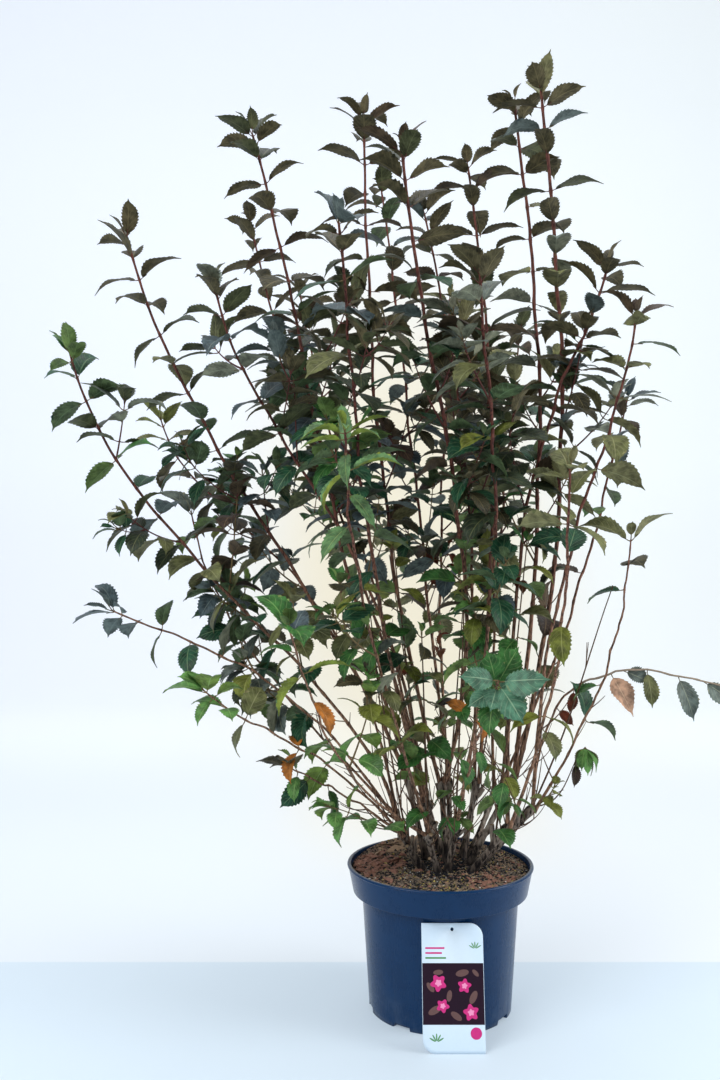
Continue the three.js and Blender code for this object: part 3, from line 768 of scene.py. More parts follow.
def leaf_pair(foliage, rng, tone, spot, heading, turn, angle, size, droop, chance=0.96):
    """Two leaves opposite each other at an angle from the twig. A dead one is narrow and curls up."""
    a, b = across(heading, steady(heading))
    for half in (0, np.pi):
        if rng.random() > chance:
            continue
        t = turn + half + rng.normal(0, 0.14)
        out = a * np.cos(t) + b * np.sin(t)
        lean = angle + rng.normal(0, 0.12)
        direction = heading * np.cos(lean) + out * np.sin(lean)
        direction = direction - UP * (droop + rng.normal(0, 0.12 + 0.1 * droop)) * np.sin(lean)
        broad = size_at(spot)
        length = LEAF_LENGTH * size * broad * rng.uniform(0.84, 1.08)
        width = length * LEAF_WIDTH / LEAF_LENGTH * rng.uniform(0.88, 1.14)
        width = width * (1.0 + 1.35 * max(0, 1 - broad))
        arch, fold = rng.uniform(0.6, 1.3) + 0.2 * droop, rng.uniform(0.1, 0.6)
        if tone == "russet":
            length, width = 0.6 * length, 0.5 * width
            arch, fold = rng.uniform(1.2, 2.4), rng.uniform(0.7, 1.2)
        elif tone == "amber":
            length, width, fold = 0.86 * length, 0.66 * width, rng.uniform(0.6, 1.1)
        elif tone == "young":
            width, fold = 0.6 * width, rng.uniform(0.7, 1.2)
        roll = rng.normal(0, 0.2 + 0.35 * droop)
        foliage.add_leaf(tone, spot, direction, roll, length, width, arch, fold, rng)


def size_at(spot):
    """Leaves are largest in the upper crown and smaller and broader below."""
    return 0.8 + 0.28 * ramp(spot[2] - 0.5, 0.65)


def droop_at(spot):
    """How far leaves hang: hardly in the upper crown, more and more below."""
    return 0.03 + 0.6 * ramp(1.02 - spot[2], 0.55)


def tip_leaves(foliage, rng, tone, spot, heading, turn, size):
    """The cluster at a shoot's end: an upright pair, lower on the highest shoots so that their leaves don't
    rise past the tip, and the small folded leaves of the bud."""
    below = spot - heading * (0.024 if spot[2] > HIGHEST_TIPS else 0.003)
    leaf_pair(foliage, rng, tone, below, heading, turn, rng.uniform(0.75, 1.15), 0.84 * size, 0.0, 1)
    bud = rng.uniform(0.3, 0.58) * size
    leaf_pair(foliage, rng, tone, spot, heading, turn + np.pi / 2, 0.3, bud, 0.0, 1)


def spots_from_tip(length, start, close=1.0):
    """Places of the leaf pairs between start and the tip: close together at the tip, then PAIR_GAP apart."""
    gaps = np.cumsum(list(TIP_GAPS) + [PAIR_GAP] * int(length / PAIR_GAP / close + 1))
    spots = length - close * gaps
    return spots[spots > start]


def leafy_twig(foliage, rng, course, kind, size, droop=None, chance=0.93, tone=None, thick=1.0, finer=0.0):
    """A twig along a course with leaves in pairs, each pair a quarter turn on, and a cluster at its end.
    finer is the chance that a pair has a small twig of its own."""
    foliage.add_twig(kind, course, thick)
    shade = tone or pick_tone(rng, course.at(course.length))
    turn = rng.uniform(0, np.pi)
    for s in spots_from_tip(course.length, 0.014, 0.78):
        if tone is None and rng.random() < 0.25:
            shade = pick_tone(rng, course.at(s))
        point, forward = course.at(s), course.heading(s)
        hang = droop_at(point) if droop is None else droop
        leaf_pair(foliage, rng, shade, point, forward, turn, np.radians(rng.uniform(60, 82)),
                  size * rng.uniform(0.84, 1.04), hang, chance)
        if rng.random() < finer:
            grow_twig(foliage, rng, point, forward, turn + 1.2, rng.uniform(0.045, 0.08), kind, False)
        turn += np.pi / 2 + rng.normal(0, 0.2)
    end = course.length
    tip_leaves(foliage, rng, shade, course.at(end), course.heading(end), turn, 0.9 * size)


def side_course(rng, spot, heading, turn, length, angle=None, lift=0.45):
    """The line of a side twig: out at an angle from its parent, then turning upwards by lift."""
    angle = np.radians(rng.uniform(38, 58)) if angle is None else angle
    a, b = across(heading, steady(heading))
    first = heading * np.cos(angle) + (a * np.cos(turn) + b * np.sin(turn)) * np.sin(angle)
    last = unit(first * (1 - lift) + UP * lift)
    return Course(bezier([spot, spot + first * length / 2, spot + (first + last) * length / 2], 40))


def any_side_course(rng, course, s, lengths, angles, lifts):
    """A side twig at s, turned at random round its parent. Length, angle and lift come from three ranges."""
    return side_course(rng, course.at(s), course.heading(s), rng.uniform(0, ROUND), rng.uniform(*lengths),
                       rng.uniform(*angles), rng.uniform(*lifts))


def grow_twig(foliage, rng, spot, heading, turn, length, kind, parent=True):
    """A leafy side twig. One that is a parent may have finer twigs, and those have smaller leaves."""
    course = side_course(rng, spot, heading, turn, length)
    size, thick, finer = (1.0, 1.0, 0.14) if parent else (0.85, 0.8, 0.0)
    leafy_twig(foliage, rng, course, kind, size, finer=finer, thick=thick)


def dry_twigs(foliage, rng, course, low, high, count):
    """Thin dead side twigs on a bare stretch."""
    for s in rng.uniform(low, high, count):
        twig = any_side_course(rng, course, s, (0.02, 0.09), (0.5, 1.1), (0.15, 0.5))
        foliage.add_twig("twigs_dry", twig, rng.uniform(0.5, 0.75))


def short_shoots(foliage, rng, course, low, high, count):
    """Short side twigs on a bare stretch, each with one pair of larger leaves at its end. Those that would
    end too low are left out."""
    for s in rng.uniform(low, high, count):
        twig = any_side_course(rng, course, s, (0.015, 0.06), (0.6, 1.0), (0.2, 0.5))
        tip = twig.at(twig.length)
        if tip[2] > LOWEST_SHORT_SHOOTS:
            foliage.add_twig("twigs_green", twig, 0.6)
            tone, turn = pick_tone(rng, tip), rng.uniform(0, np.pi)
            leaf_pair(foliage, rng, tone, tip, twig.heading(twig.length), turn, 0.8, 1.02, droop_at(tip), 0.8)


# The rosette of large leaves round the end of the front shoot: tone, angle from level to the right as seen
# from the front, in degrees, length, width, and how far the leaf stands out to the front.
WHORL = (
    ("sea", 172, 0.050, 0.030, 0.35), ("sea", 4, 0.060, 0.036, 0.3), ("sea", -58, 0.054, 0.040, 0.45),
    ("sea", -112, 0.036, 0.030, 0.8), ("green", 108, 0.044, 0.036, 0.3), ("green", 62, 0.052, 0.040, 0.1),
    ("green", 142, 0.040, 0.024, 0.1), ("sea", -150, 0.038, 0.026, 0.3), ("sea", 30, 0.034, 0.022, 0.9),
)


def front_whorl(foliage, rng, tip):
    """The rosette, each leaf a little behind and below the one before."""
    for k, (tone, turn, length, width, out) in enumerate(WHORL):
        turn = np.radians(turn)
        direction = np.array([np.cos(turn), -out, np.sin(turn)])
        spot = tip + np.array([0, 0.004 * k, -0.002 * k])
        foliage.add_leaf(tone, spot, direction, 0.0, length, width, rng.uniform(0.3, 0.7), 0.2, rng,
                         facing=np.array([0.0, -0.85, 0.5]))


# The few large leaves that hang from the long low shoot on the right: share of its length, tone, length,
# width, and how far the leaf swings to the right.
REACH_LEAVES = (
    (0.34, "russet", 0.034, 0.018, 0.9), (0.43, "russet", 0.036, 0.018, -0.2),
    (0.56, "blush", 0.070, 0.044, 0.45), (0.60, "ashen", 0.040, 0.026, 2.2),
    (0.68, "sage", 0.056, 0.028, 0.05), (0.78, "ashen", 0.072, 0.040, 0.35),
    (0.86, "ashen", 0.060, 0.034, 1.4), (0.93, "blush", 0.062, 0.034, 0.3),
    (0.985, "ashen", 0.066, 0.034, 0.9), (0.99, "sage", 0.050, 0.028, -0.5),
)


def reach_leaves(foliage, rng, course):
    """Those leaves, with their upper sides to the front."""
    for share, tone, length, width, swing in REACH_LEAVES:
        direction = np.array([swing, rng.normal(0, 0.2), -1.0])
        foliage.add_leaf(tone, course.at(share * course.length), direction, 0.0, length, width,
                         rng.uniform(0.2, 0.5), 0.3, rng, facing=np.array([0.3, -1.0, 0.2]))


def right_gap(spot):
    """1 on the crown's right below 0.74 m, where it is open, down to 0 towards its middle and above 0.9 m."""
    return ramp(spot[0] - 0.1, 0.08) * ramp(0.9 - spot[2], 0.16)


def cover_at(spot):
    """The share of twigs and leaves that a place has: fewer low down and in the gap on the right, and never
    under 0.85 on the left side."""
    low = (0.45 + 0.55 * ramp(spot[2] - 0.42, 0.2)) * (1 - 0.85 * right_gap(spot))
    return max(low, 0.85 * (1 - ramp(spot[0] + 0.3, 0.1)))


def twig_chance(spot, share, full):
    """How likely a leaf pair has a side twig: less towards the shoot's tip and in the crown's middle below
    0.94 m, and not at all from 1.12 m up."""
    middle = 1.3 - 0.85 * ramp(spot[0] + 0.3, 0.1) * ramp(0.94 - spot[2], 0.12)
    reach = 0.7 + 0.2 * ramp(spot[2] - 0.84, 0.1)
    return (1 - share / reach) * full * cover_at(spot) * middle * (spot[2] < 1.12)


def leaf_chance(spot, share):
    """How likely each leaf of a pair is there: less at the shoot's foot, low down and in the gap."""
    chance = (0.97 if share > 0.3 else 0.75) * max(cover_at(spot), 0.3 + 0.6 * share)
    return chance * (1 - 0.35 * right_gap(spot)) * (1 - 0.16 * ramp(0.88 - spot[2], 0.06))


def grow_shoot(foliage, name, seed):
    """The leaves and side twigs of a shoot: leaf pairs from the tip down, each a quarter turn on, side twigs
    at some of them, and dry twigs and short shoots on its bare stretch. Gives its course and the pairs'
    places."""
    rng = np.random.default_rng(seed)
    course = shoot_course(name)
    start = SHOOTS[name][BARE_SHARE] * course.length
    spots = spots_from_tip(course.length, start)
    turn = rng.uniform(0, np.pi)
    if name == "front_right":
        front_whorl(foliage, rng, course.at(course.length))
        for s in spots[1:3]:
            leaf_pair(foliage, rng, "green", course.at(s), course.heading(s), turn, 1.2, 0.9, 0.4, 0.6)
        return course, spots
    if name == PALE_SHOOT:
        reach_leaves(foliage, rng, course)
        return course, spots
    for k, s in enumerate(spots):
        spot, heading = course.at(s), course.heading(s)
        share = (s - start) / (course.length - start)
        tone = pick_tone(rng, spot)
        if k < TIP_PAIRS.get(name, 1):
            tone = TIP_TONES.get(name, tone)
        elif (name, k) in AMBER_PAIRS:
            tone = "amber"
        if rng.random() < twig_chance(spot, share, FULLNESS.get(name, 1.0)):
            length = rng.uniform(0.075, 0.19) * (1.12 - 0.5 * share)
            kind = "twigs_red" if spot[2] > 0.75 else "twigs_green"
            grow_twig(foliage, rng, spot, heading, turn + np.pi * (k % 2), length, kind)
        lean = np.radians(rng.uniform(70, 90) if k > 1 else rng.uniform(52, 74))
        size = 0.98 + 0.1 * np.sin(np.pi * share) - 0.2 * (k == 0)
        chance = leaf_chance(spot, share)
        leaf_pair(foliage, rng, tone, spot, heading, turn, lean, size, droop_at(spot), chance)
        turn += np.pi / 2 + rng.normal(0, 0.16)
    tip = course.at(course.length)
    tone = TIP_TONES.get(name) or pick_tone(rng, tip)
    size = 1.0 + 0.35 * (tip[2] < 0.85)
    tip_leaves(foliage, rng, tone, tip, course.heading(course.length), turn, size)
    dry_twigs(foliage, rng, course, 0.03 * course.length, max(start, 0.32 * course.length), 3)
    short_shoots(foliage, rng, course, 0.15 * start, 1.05 * start, 3 if -0.22 < tip[0] < 0.12 else 1)
    return course, spots


def through(*points):
    """A smooth course from the first to the last of four points that passes near the others."""
    return Course(bezier([np.array(p, float) for p in points], 60))


# Low leafy twigs on the stools: the four points of the course, tone, size of the leaves, how far they hang,
# kind and each leaf's chance.
LOW_TWIGS = (
    (((-0.064, -0.042, 0.292), (-0.09, -0.062, 0.300), (-0.14, -0.085, 0.335), (-0.178, -0.095, 0.346)),
     "fresh", 0.95, 0.5, "twigs_green", 0.95),
    (((0.022, -0.062, 0.306), (-0.01, -0.13, 0.47), (0.05, -0.2, 0.50), (0.09, -0.212, 0.386)),
     "green", 0.72, 0.95, "twigs_dry", 0.75),
    (((0.15, -0.014, 0.325), (0.165, -0.03, 0.335), (0.172, -0.045, 0.352), (0.178, -0.05, 0.366)),
     "olive", 0.55, 0.7, "twigs_green", 0.95),
)
TUFT_TWIG = ((0.152, -0.012, 0.326), (0.21, -0.01, 0.325), (0.205, -0.02, 0.40), (0.234, -0.02, 0.424))
TUFT_TOP = (0.234, -0.02, 0.423)
TUFT_LEAVES = 9


def grow_sticks(foliage, rng):
    """Thin dry sticks on some of the stools, half of them with a few leaves, and dry twigs on every stool."""
    for index, stool in enumerate(STOOLS):
        course = stool_course(stool)
        for _ in range(index % 2 + (index % 4 == 0)):
            spot = course.at(rng.uniform(0.55, 0.97) * course.length)
            lean = np.array([spot[0] * rng.uniform(0.4, 1.6), spot[1] * rng.uniform(0.4, 1.6), 0.0])
            tall = rng.uniform(0.26, 0.52)
            top = spot + UP * tall + lean * tall * 2.2 + np.append(rng.normal(0, 0.02, 2), 0)
            stick = through(spot, spot + (top - spot) * 0.35 + lean * 0.12, spot + (top - spot) * 0.7, top)
            if rng.random() < 0.5:
                leafy_twig(foliage, rng, stick, "twigs_dry", 0.86, chance=0.42, thick=1.15)
            else:
                foliage.add_twig("twigs_dry", stick, 1.05)
                dry_twigs(foliage, rng, stick, 0.06, tall, 2)
    for stool in STOOLS:
        course = stool_course(stool)
        for s in rng.uniform(0.5, 1.0, 3) * course.length:
            twig = any_side_course(rng, course, s, (0.05, 0.14), (0.5, 1.0), (0.3, 0.6))
            if twig.points[-1, 2] > course.at(s)[2] + 0.03:
                foliage.add_twig("twigs_dry", twig, rng.uniform(0.6, 0.9))
                dry_twigs(foliage, rng, twig, 0.01, twig.length, 1)


def grow_from_stools(foliage):
    """What springs from the old wood itself: thin upright sticks, low leafy twigs and a small tuft that hangs
    from the end of a twig."""
    rng = np.random.default_rng(STOOL_TWIG_SEED)
    grow_sticks(foliage, rng)
    for points, tone, size, droop, kind, chance in LOW_TWIGS:
        leafy_twig(foliage, rng, through(*points), kind, size, droop, chance, tone, 0.85)
    twig = through(*TUFT_TWIG)
    foliage.add_twig("twigs_dry", twig, 0.8)
    for k in range(TUFT_LEAVES):
        turn, lean = 2.4 * k, 0.35 + 0.05 * k
        out = np.array([np.cos(turn), np.sin(turn), 0.0])
        direction = out * np.sin(lean) - UP * np.cos(lean)
        foliage.add_leaf("fresh" if k % 4 else "sage", np.array(TUFT_TOP), direction, 0.0, 0.046 - 0.001 * k,
                         0.018, 0.9, 0.3, rng, 0.003, facing=out)
    foliage.add_leaf("umber", twig.at(0.8 * twig.length), np.array([-0.1, -0.1, -1.0]), 0.0, 0.036, 0.016,
                     0.4, 0.7, rng, facing=np.array([0.2, -1.0, 0.0]))


def shoot_radius(share, split):
    """Radius of a shoot at a share of its length: even taper up to the split, then one that quickens."""
    low = SHOOT_FOOT_RADIUS + (SHOOT_SPLIT_RADIUS - SHOOT_FOOT_RADIUS) * share / split
    beyond = np.clip((share - split) / (1 - split), 0, 1)
    high = SHOOT_SPLIT_RADIUS + (SHOOT_TIP_RADIUS - SHOOT_SPLIT_RADIUS) * beyond ** 2
    return np.where(share < split, low, high)


def stem_tube(course, spots, split, low, high, slender):
    """The stem between two shares of its length, thicker at its leaf pairs and at its foot."""
    steps = int((high - low) * course.length / STEM_STEP)
    s = np.linspace(low, high, steps) * course.length
    radius = shoot_radius(s / course.length, split)
    radius = radius * (slender + (1 - slender) * np.exp(-s / 0.03))
    swell = sum(np.exp(-((s - spot) / KNOB_LENGTH) ** 2) for spot in spots)
    collar = 0.3 * np.exp(-s / 0.012)
    radius = radius * (1 + 0.3 * swell + collar)
    return tubes(course.at(s)[None], radius[None, :, None], STEM_SIDES)


def build_leaves(foliage, masses):
    """The leaves, one piece for each tone and no more than LEAVES_A_PIECE in it."""
    for tone, rows in foliage.leaves.items():
        upper, under, vein, gloss = TONES[tone]
        sides = [leaf_side(f"leaf_{tone}_upper", srgb(*upper), srgb(*vein), gloss, 0.52),
                 leaf_side(f"leaf_{tone}_under", srgb(*under), srgb(*vein), gloss + 0.14, 0.58)]
        for part, first in enumerate(range(0, len(rows), LEAVES_A_PIECE)):
            points, faces, indices, uv, margin = blade_surface(rows[first:first + LEAVES_A_PIECE])
            add_piece(f"leaves_{tone}_{part + 1}", points, faces, sides, "foliage", masses, indices, uv,
                      crisp=margin)


def build_twigs(foliage, masses):
    """The twigs and the leaves' stalks, one piece for each kind."""
    skins = {"red": plain("twig_red", srgb(96, 54, 50), 0.55),
             "green": plain("twig_green", srgb(116, 98, 66), 0.6),
             "dry": plain("twig_dry", srgb(106, 80, 63), 0.8, 0.3, 0.4)}
    pieces = []
    taper = np.linspace(TWIG_RADIUS, TWIG_TIP_RADIUS, TWIG_STEPS)
    for kind, twigs in foliage.twigs.items():
        paths = np.array([path for path, _ in twigs])
        thick = np.array([share for _, share in twigs])[:, None]
        pieces.append((kind, paths, thick * taper, TWIG_SIDES))
    taper = np.linspace(*STALK_RADII, 4)
    for kind, paths in foliage.stalks.items():
        pieces.append((kind, np.array(paths), np.tile(taper, (len(paths), 1)), STALK_SIDES))
    for kind, paths, radii, sides in pieces:
        skin = skins[kind.split("_")[1]]
        add_piece(kind, *tubes(paths, radii[..., None], sides), [skin], "foliage", masses)


def build_shoots():
    """The long shoots with all that grows on them and on the stools. A shoot's bare part is a bough and the
    rest a stem, but for the pale one, whose stem is a piece of its own."""
    foliage = Foliage()
    boughs, stems = [], []
    for index, (name, shoot) in enumerate(SHOOTS.items()):
        course, spots = grow_shoot(foliage, name, SHOOT_SEED + index)
        split, slender = shoot[BARE_SHARE], SLENDER.get(name, USUAL_STEM)
        knobs = np.concatenate([spots, np.arange(0.05, split * course.length, 0.06)])
        boughs.append(stem_tube(course, knobs, split, 0.0, split, slender))
        stem = stem_tube(course, knobs, split, split, 1.0, slender)
        if name == PALE_SHOOT:
            add_piece("stem_pale", *stem, [plain("bark_pale", srgb(156, 140, 122), 0.7, 0.3)], "foliage",
                      [f"foliage_{name}"])
        else:
            stems.append(stem)
    grow_from_stools(foliage)
    bark = shoot_bark()
    masses = [f"foliage_{name}" for name in SHOOTS]
    add_piece("boughs", *join_parts(boughs), [bark], "bark",
              [f"bough_{name}" for name, shoot in SHOOTS.items() if shoot[HAS_BOUGH]])
    add_piece("stems", *join_parts(stems), [bark], "foliage", masses)
    build_twigs(foliage, masses)
    build_leaves(foliage, masses)


# ---------------------------------------------------------------- stools


def old_wood(rng, course, radius, grid):
    """Tapering old wood with long ridges: its radius carries waves round it that drift along it."""
    sides, rows = grid
    s = np.linspace(0, course.length, rows)
    share = (s / course.length)[:, None]
    turn = turns(sides)[None]
    ripple = 0.05 * sum(
        rng.uniform(0.5, 1.0) * np.sin(k * turn + rng.uniform(0, ROUND) + rng.normal(0, 1.4) * 2 * share)
        for k in (2, 3, 5, 8, 13))
    ripple = ripple - 0.08 * np.abs(np.sin(7 * turn + 5 * np.sin(6 * share)))
    ripple = ripple + 0.05 * np.sin(31 * share + rng.uniform(0, ROUND)) * np.sin(turn + 9 * share)
    wide = radius(share)
    return tubes(course.at(s)[None], (wide + ripple * wide)[None], sides, BACK)


def build_stools():
    """The stools, each with a knuckle at its top, and the stubs of branches that were cut off them."""
    parts, kinds = [], []

    def add_wood(wood, cut):
        """Takes up old wood, and shows the cut on its last face, the end, if it has one."""
        parts.append(wood)
        kinds.append(np.concatenate([np.zeros(len(wood[1][0]) + 1, int), [int(cut)]]))

    for index, stool in enumerate(STOOLS):
        rng = np.random.default_rng(STOOL_SEED + index)
        course = stool_course(stool)
        top = socket_ring(stool) + SHOOT_FOOT_RADIUS + SOCKET_MARGIN

        def radius(share):
            """A waist half way up, a knuckle near the top, a rounded end and a flare at the foot."""
            knuckle = 0.74 - 0.16 * np.sin(np.pi * share) + 0.26 * np.exp(-((share - 0.92) / 0.07) ** 2)
            dome = np.sqrt(np.clip(1 - (np.clip(share - 0.955, 0, 1) / 0.052) ** 2, 0.02, 1))
            return (top * knuckle * dome + STOOL_FLARE * (1 - share) ** 3) * 0.93

        course.points[0, 2] -= STOOL_SUNK
        add_wood(old_wood(rng, course, radius, STOOL_GRID), False)
        for share in rng.uniform(0.2, 0.85, 2 if index % 3 else 3):
            spot, heading = course.at(share * course.length), course.heading(share * course.length)
            turn, length = rng.uniform(0, ROUND), rng.uniform(0.016, 0.034)
            stub = side_course(rng, spot, heading, turn, length, 0.7, 0.3)
            thick = rng.uniform(0.0026, 0.0046)
            add_wood(old_wood(rng, stub, lambda s: thick * (1.3 - 0.4 * s), STUB_GRID), True)
    points, faces = join_parts(parts)
    add_piece("stools", points, faces, [old_bark(), plain("cut_wood", srgb(150, 128, 102), 0.8, 0.4)], "bark",
              sorted({f"stool_{root}" for root, _, _, _ in STOOLS.values()}), np.concatenate(kinds))


# ---------------------------------------------------------------- pot and soil


def lathe(profile, sides, raised):
    """A profile of (radius, height) pairs turned round the axis, from axis to axis. raised gives each point's
    height from its radius, its height in the profile and its angle from the front."""
    profile = np.array(profile)
    turn = turns(sides)[None]
    radius, height = (np.repeat(profile[1:-1, k, None], sides, axis=1) for k in (0, 1))
    height = raised(radius, height, turn)
    ring = np.stack([radius * np.sin(turn), -radius * np.cos(turn), height], axis=-1).reshape(-1, 3)
    ends = np.array([[0, 0, profile[0, 1]], [0, 0, height[-1].mean()]])
    rows = len(profile) - 2
    j = np.arange(sides)
    k = (j + 1) % sides
    first, last = rows * sides, rows * sides + 1
    fans = [np.stack([np.full(sides, first), k, j], axis=-1),
            np.stack([np.full(sides, last), (rows - 1) * sides + j, (rows - 1) * sides + k], axis=-1)]
    return np.concatenate([ring, ends]), [grid_quads(rows, sides, True)] + fans


def rounded(points, size):
    """A profile whose inner corners are cut by short curves of about a size."""
    points = [np.array(p, float) for p in points]
    out = [points[0]]
    for before, corner, after in zip(points, points[1:], points[2:]):
        a, b = (corner + unit(end - corner) * min(size, 0.45 * np.linalg.norm(end - corner))
                for end in (before, after))
        out += list(bezier([a, corner, b], 4))
    return np.array(out + [points[-1]])


def build_pot():
    """The pot's wall, band and lip as one turned profile, with drain notches let into its lower edge."""
    foot, recess, lip = POT_FOOT_RADIUS, POT_FOOT_RADIUS - DRAIN_DEPTH, POT_HEIGHT - POT_LIP_HEIGHT
    underside = [(0, 0), (recess, 0), (recess + 0.001, 0), (foot - 0.001, 0), (foot, 0.0004)]
    wall = [(foot + 0.0005, 0.0088), (POT_WALL_TOP_RADIUS, POT_LEDGE - 0.001),
            (POT_BAND_FOOT_RADIUS, POT_LEDGE), (POT_RIM_RADIUS - 0.001, lip - 0.001),
            (POT_RIM_RADIUS + 0.001, lip), (POT_RIM_RADIUS, POT_HEIGHT),
            (POT_RIM_RADIUS - 2 * POT_WALL, POT_HEIGHT),
            (POT_BAND_FOOT_RADIUS - POT_WALL, POT_LEDGE + POT_WALL + 0.0005),
            (POT_WALL_TOP_RADIUS - POT_WALL, POT_LEDGE + POT_WALL),
            (POT_FOOT_RADIUS - POT_WALL, POT_FLOOR), (0, POT_FLOOR)]

    def notched(radius, height, turn):
        """Lifts the lower edge to the notch's height where a notch is, in a steep step."""
        pitch = 2 * np.pi / DRAIN_COUNT
        off = (turn - np.radians(DRAIN_TURN) + pitch / 2) % pitch - pitch / 2
        inside = ramp(0.5 * DRAIN_WIDTH / foot - np.abs(off), DRAIN_SLOPE)
        edge = (height < 0.002) & (radius > recess + 0.0005)
        return np.where(edge, height + DRAIN_HEIGHT * inside, height)

    profile = np.concatenate([underside, rounded(wall, 0.0012)])
    add_piece("pot_shell", *lathe(profile, POT_SIDES, notched), [pot_plastic()], "pot", ["pot"])


CRUMB = np.array([[1, 0, 0], [0, 1, 0], [-1, 0, 0], [0, -1, 0], [0, 0, 1], [0, 0, -1]], float)
CRUMB_FACES = np.array([[0, 1, 4], [1, 2, 4], [2, 3, 4], [3, 0, 4],
                        [1, 0, 5], [2, 1, 5], [3, 2, 5], [0, 3, 5]])

# What is strewn on the soil: name, colour, and batches of how many, the size from and to, how flat, how long
# at most, and round which place (x, y, spread), or None for all over the soil.
STREWN = (
    ("soil_crumbs_dark", (30, 32, 38), (
        (1700, 0.001, 0.003, 0.8, 1.9, None),
        (500, 0.0014, 0.0034, 0.8, 1.6, (0.012, -0.02, 0.035)))),
    ("soil_crumbs_brown", (142, 124, 104), (
        (2200, 0.0008, 0.0024, 0.8, 1.9, None),)),
    ("soil_chips_red", (142, 104, 90), (
        (200, 0.002, 0.005, 0.35, 1.9, None),
        (200, 0.003, 0.008, 0.3, 2.6, (-0.115, 0.0, 0.03)),
        (130, 0.002, 0.006, 0.35, 2.4, (0.075, -0.08, 0.025)))),
    ("soil_chips_tan", (162, 136, 112), (
        (110, 0.002, 0.005, 0.3, 1.9, None),
        (110, 0.003, 0.0095, 0.22, 3.2, (-0.055, 0.115, 0.035)))),
    ("soil_grains_yellow", (176, 160, 92), (
        (260, 0.0008, 0.0022, 0.8, 1.9, None),
        (150, 0.0008, 0.002, 0.8, 1.5, (0.0, -0.115, 0.04)))),
    ("soil_grains_white", (222, 226, 226), (
        (60, 0.0007, 0.0016, 0.9, 1.9, None),
        (130, 0.0007, 0.0015, 0.9, 1.4, (0.0, -0.03, 0.03)))),
)


def strewn(rng, heap, count, low, high, flat, long, about):
    """Crumbs: a rough ball of six corners each, squeezed flat by a share, drawn long and turned at random.
    One that would reach over the pot's rim is pulled in towards the middle."""
    far = (SOIL_EDGE - 0.003) * np.sqrt(rng.uniform(0.0, 1.0, count))
    turn = rng.uniform(0, 2 * np.pi, count)
    x, y = far * np.cos(turn), far * np.sin(turn)
    if about:
        x, y = about[0] + about[2] * rng.normal(0, 1, count), about[1] + about[2] * rng.normal(0, 1, count)
        keep = np.hypot(x, y) < SOIL_EDGE - 0.002
        x, y = x[keep], y[keep]
        count = len(x)
    size = rng.uniform(low, high, count)
    shape = CRUMB[None] * rng.uniform(0.55, 1.15, (count, 6, 1)) + rng.normal(0, 0.16, (count, 6, 3))
    shape[..., 2] *= flat
    shape[..., 0] *= rng.uniform(0.9, long, (count, 1))
    spin, tip = rng.uniform(0, 2 * np.pi, (count, 1)), rng.normal(0, 0.45, (count, 1))
    sx, sy, sz = shape[..., 0], shape[..., 1], shape[..., 2]
    sy, sz = sy * np.cos(tip) - sz * np.sin(tip), sy * np.sin(tip) + sz * np.cos(tip)
    sx, sy = sx * np.cos(spin) - sy * np.sin(spin), sx * np.sin(spin) + sy * np.cos(spin)
    local = np.stack([sx, sy, sz], axis=-1) * size[:, None, None]
    span = np.hypot(local[..., 0], local[..., 1]).max(axis=1)
    pull = np.minimum(1, (SOIL_EDGE + 0.0005 - span) / np.hypot(x, y))
    x, y = x * pull, y * pull
    place = np.stack([x, y, heap(x, y) + 0.25 * size * flat], axis=-1)
    faces = (CRUMB_FACES[None] + len(CRUMB) * np.arange(count)[:, None, None]).reshape(-1, 3)
    return (local + place[:, None]).reshape(-1, 3), [faces]


def build_soil():
    """Peat filled to just under the rim and banked above it at the back: a turned heap with waves and lumps,
    with crumbs and chips strewn on it."""
    rng = np.random.default_rng(SOIL_SEED)
    foot = POT_FLOOR + GAP
    top = [(r, SOIL_FLAT_HEIGHT) for r in np.linspace(SOIL_EDGE, 0.004, SOIL_RINGS)]
    profile = [(0, foot), (POT_FOOT_RADIUS - POT_WALL - GAP, foot),
               (POT_WALL_TOP_RADIUS - POT_WALL - GAP, POT_LEDGE + POT_WALL + GAP),
               (POT_BAND_FOOT_RADIUS - POT_WALL - 2 * GAP, POT_LEDGE + POT_WALL + 2 * GAP)]
    waves = [(rng.uniform(40, 420), rng.uniform(0, ROUND), rng.uniform(0, ROUND)) for _ in range(SOIL_WAVES)]

    def heap(x, y):
        """Height of the soil: level in the middle, lower at the edge and higher at the back, with lumps as a
        sum of plane waves."""
        fall = ramp(np.hypot(x, y) - SOIL_FLAT_RADIUS, SOIL_EDGE - SOIL_FLAT_RADIUS)
        lumps = sum(np.sin(k * (x * np.cos(a) + y * np.sin(a)) + p) * 12 / (30 + k) for k, a, p in waves)
        bank = 0.0085 * np.exp(-((x + 0.055) ** 2 + (y - 0.115) ** 2) / 0.07 ** 2) + 0.005 * ramp(y, 0.14)
        return SOIL_FLAT_HEIGHT + SOIL_LOOSE - 0.004 * fall + bank + 0.0009 * lumps

    def heaped(radius, height, turn):
        """The top follows the heap, and the sides and the underside stay."""
        x, y = radius * np.sin(turn), -radius * np.cos(turn)
        return np.where(height > POT_LEDGE + 0.006, heap(x, y), height)

    profile = profile + top + [(0, SOIL_FLAT_HEIGHT)]
    add_piece("soil_heap", *lathe(profile, SOIL_SIDES, heaped), [soil_peat()], "soil", ["soil"])
    for name, colour, batches in STREWN:
        crumbs = join_parts([strewn(rng, heap, *batch) for batch in batches])
        add_piece(name, *crumbs, [plain(name, srgb(*colour), 0.9, 0.4)], "soil", smooth=False)


# ---------------------------------------------------------------- label


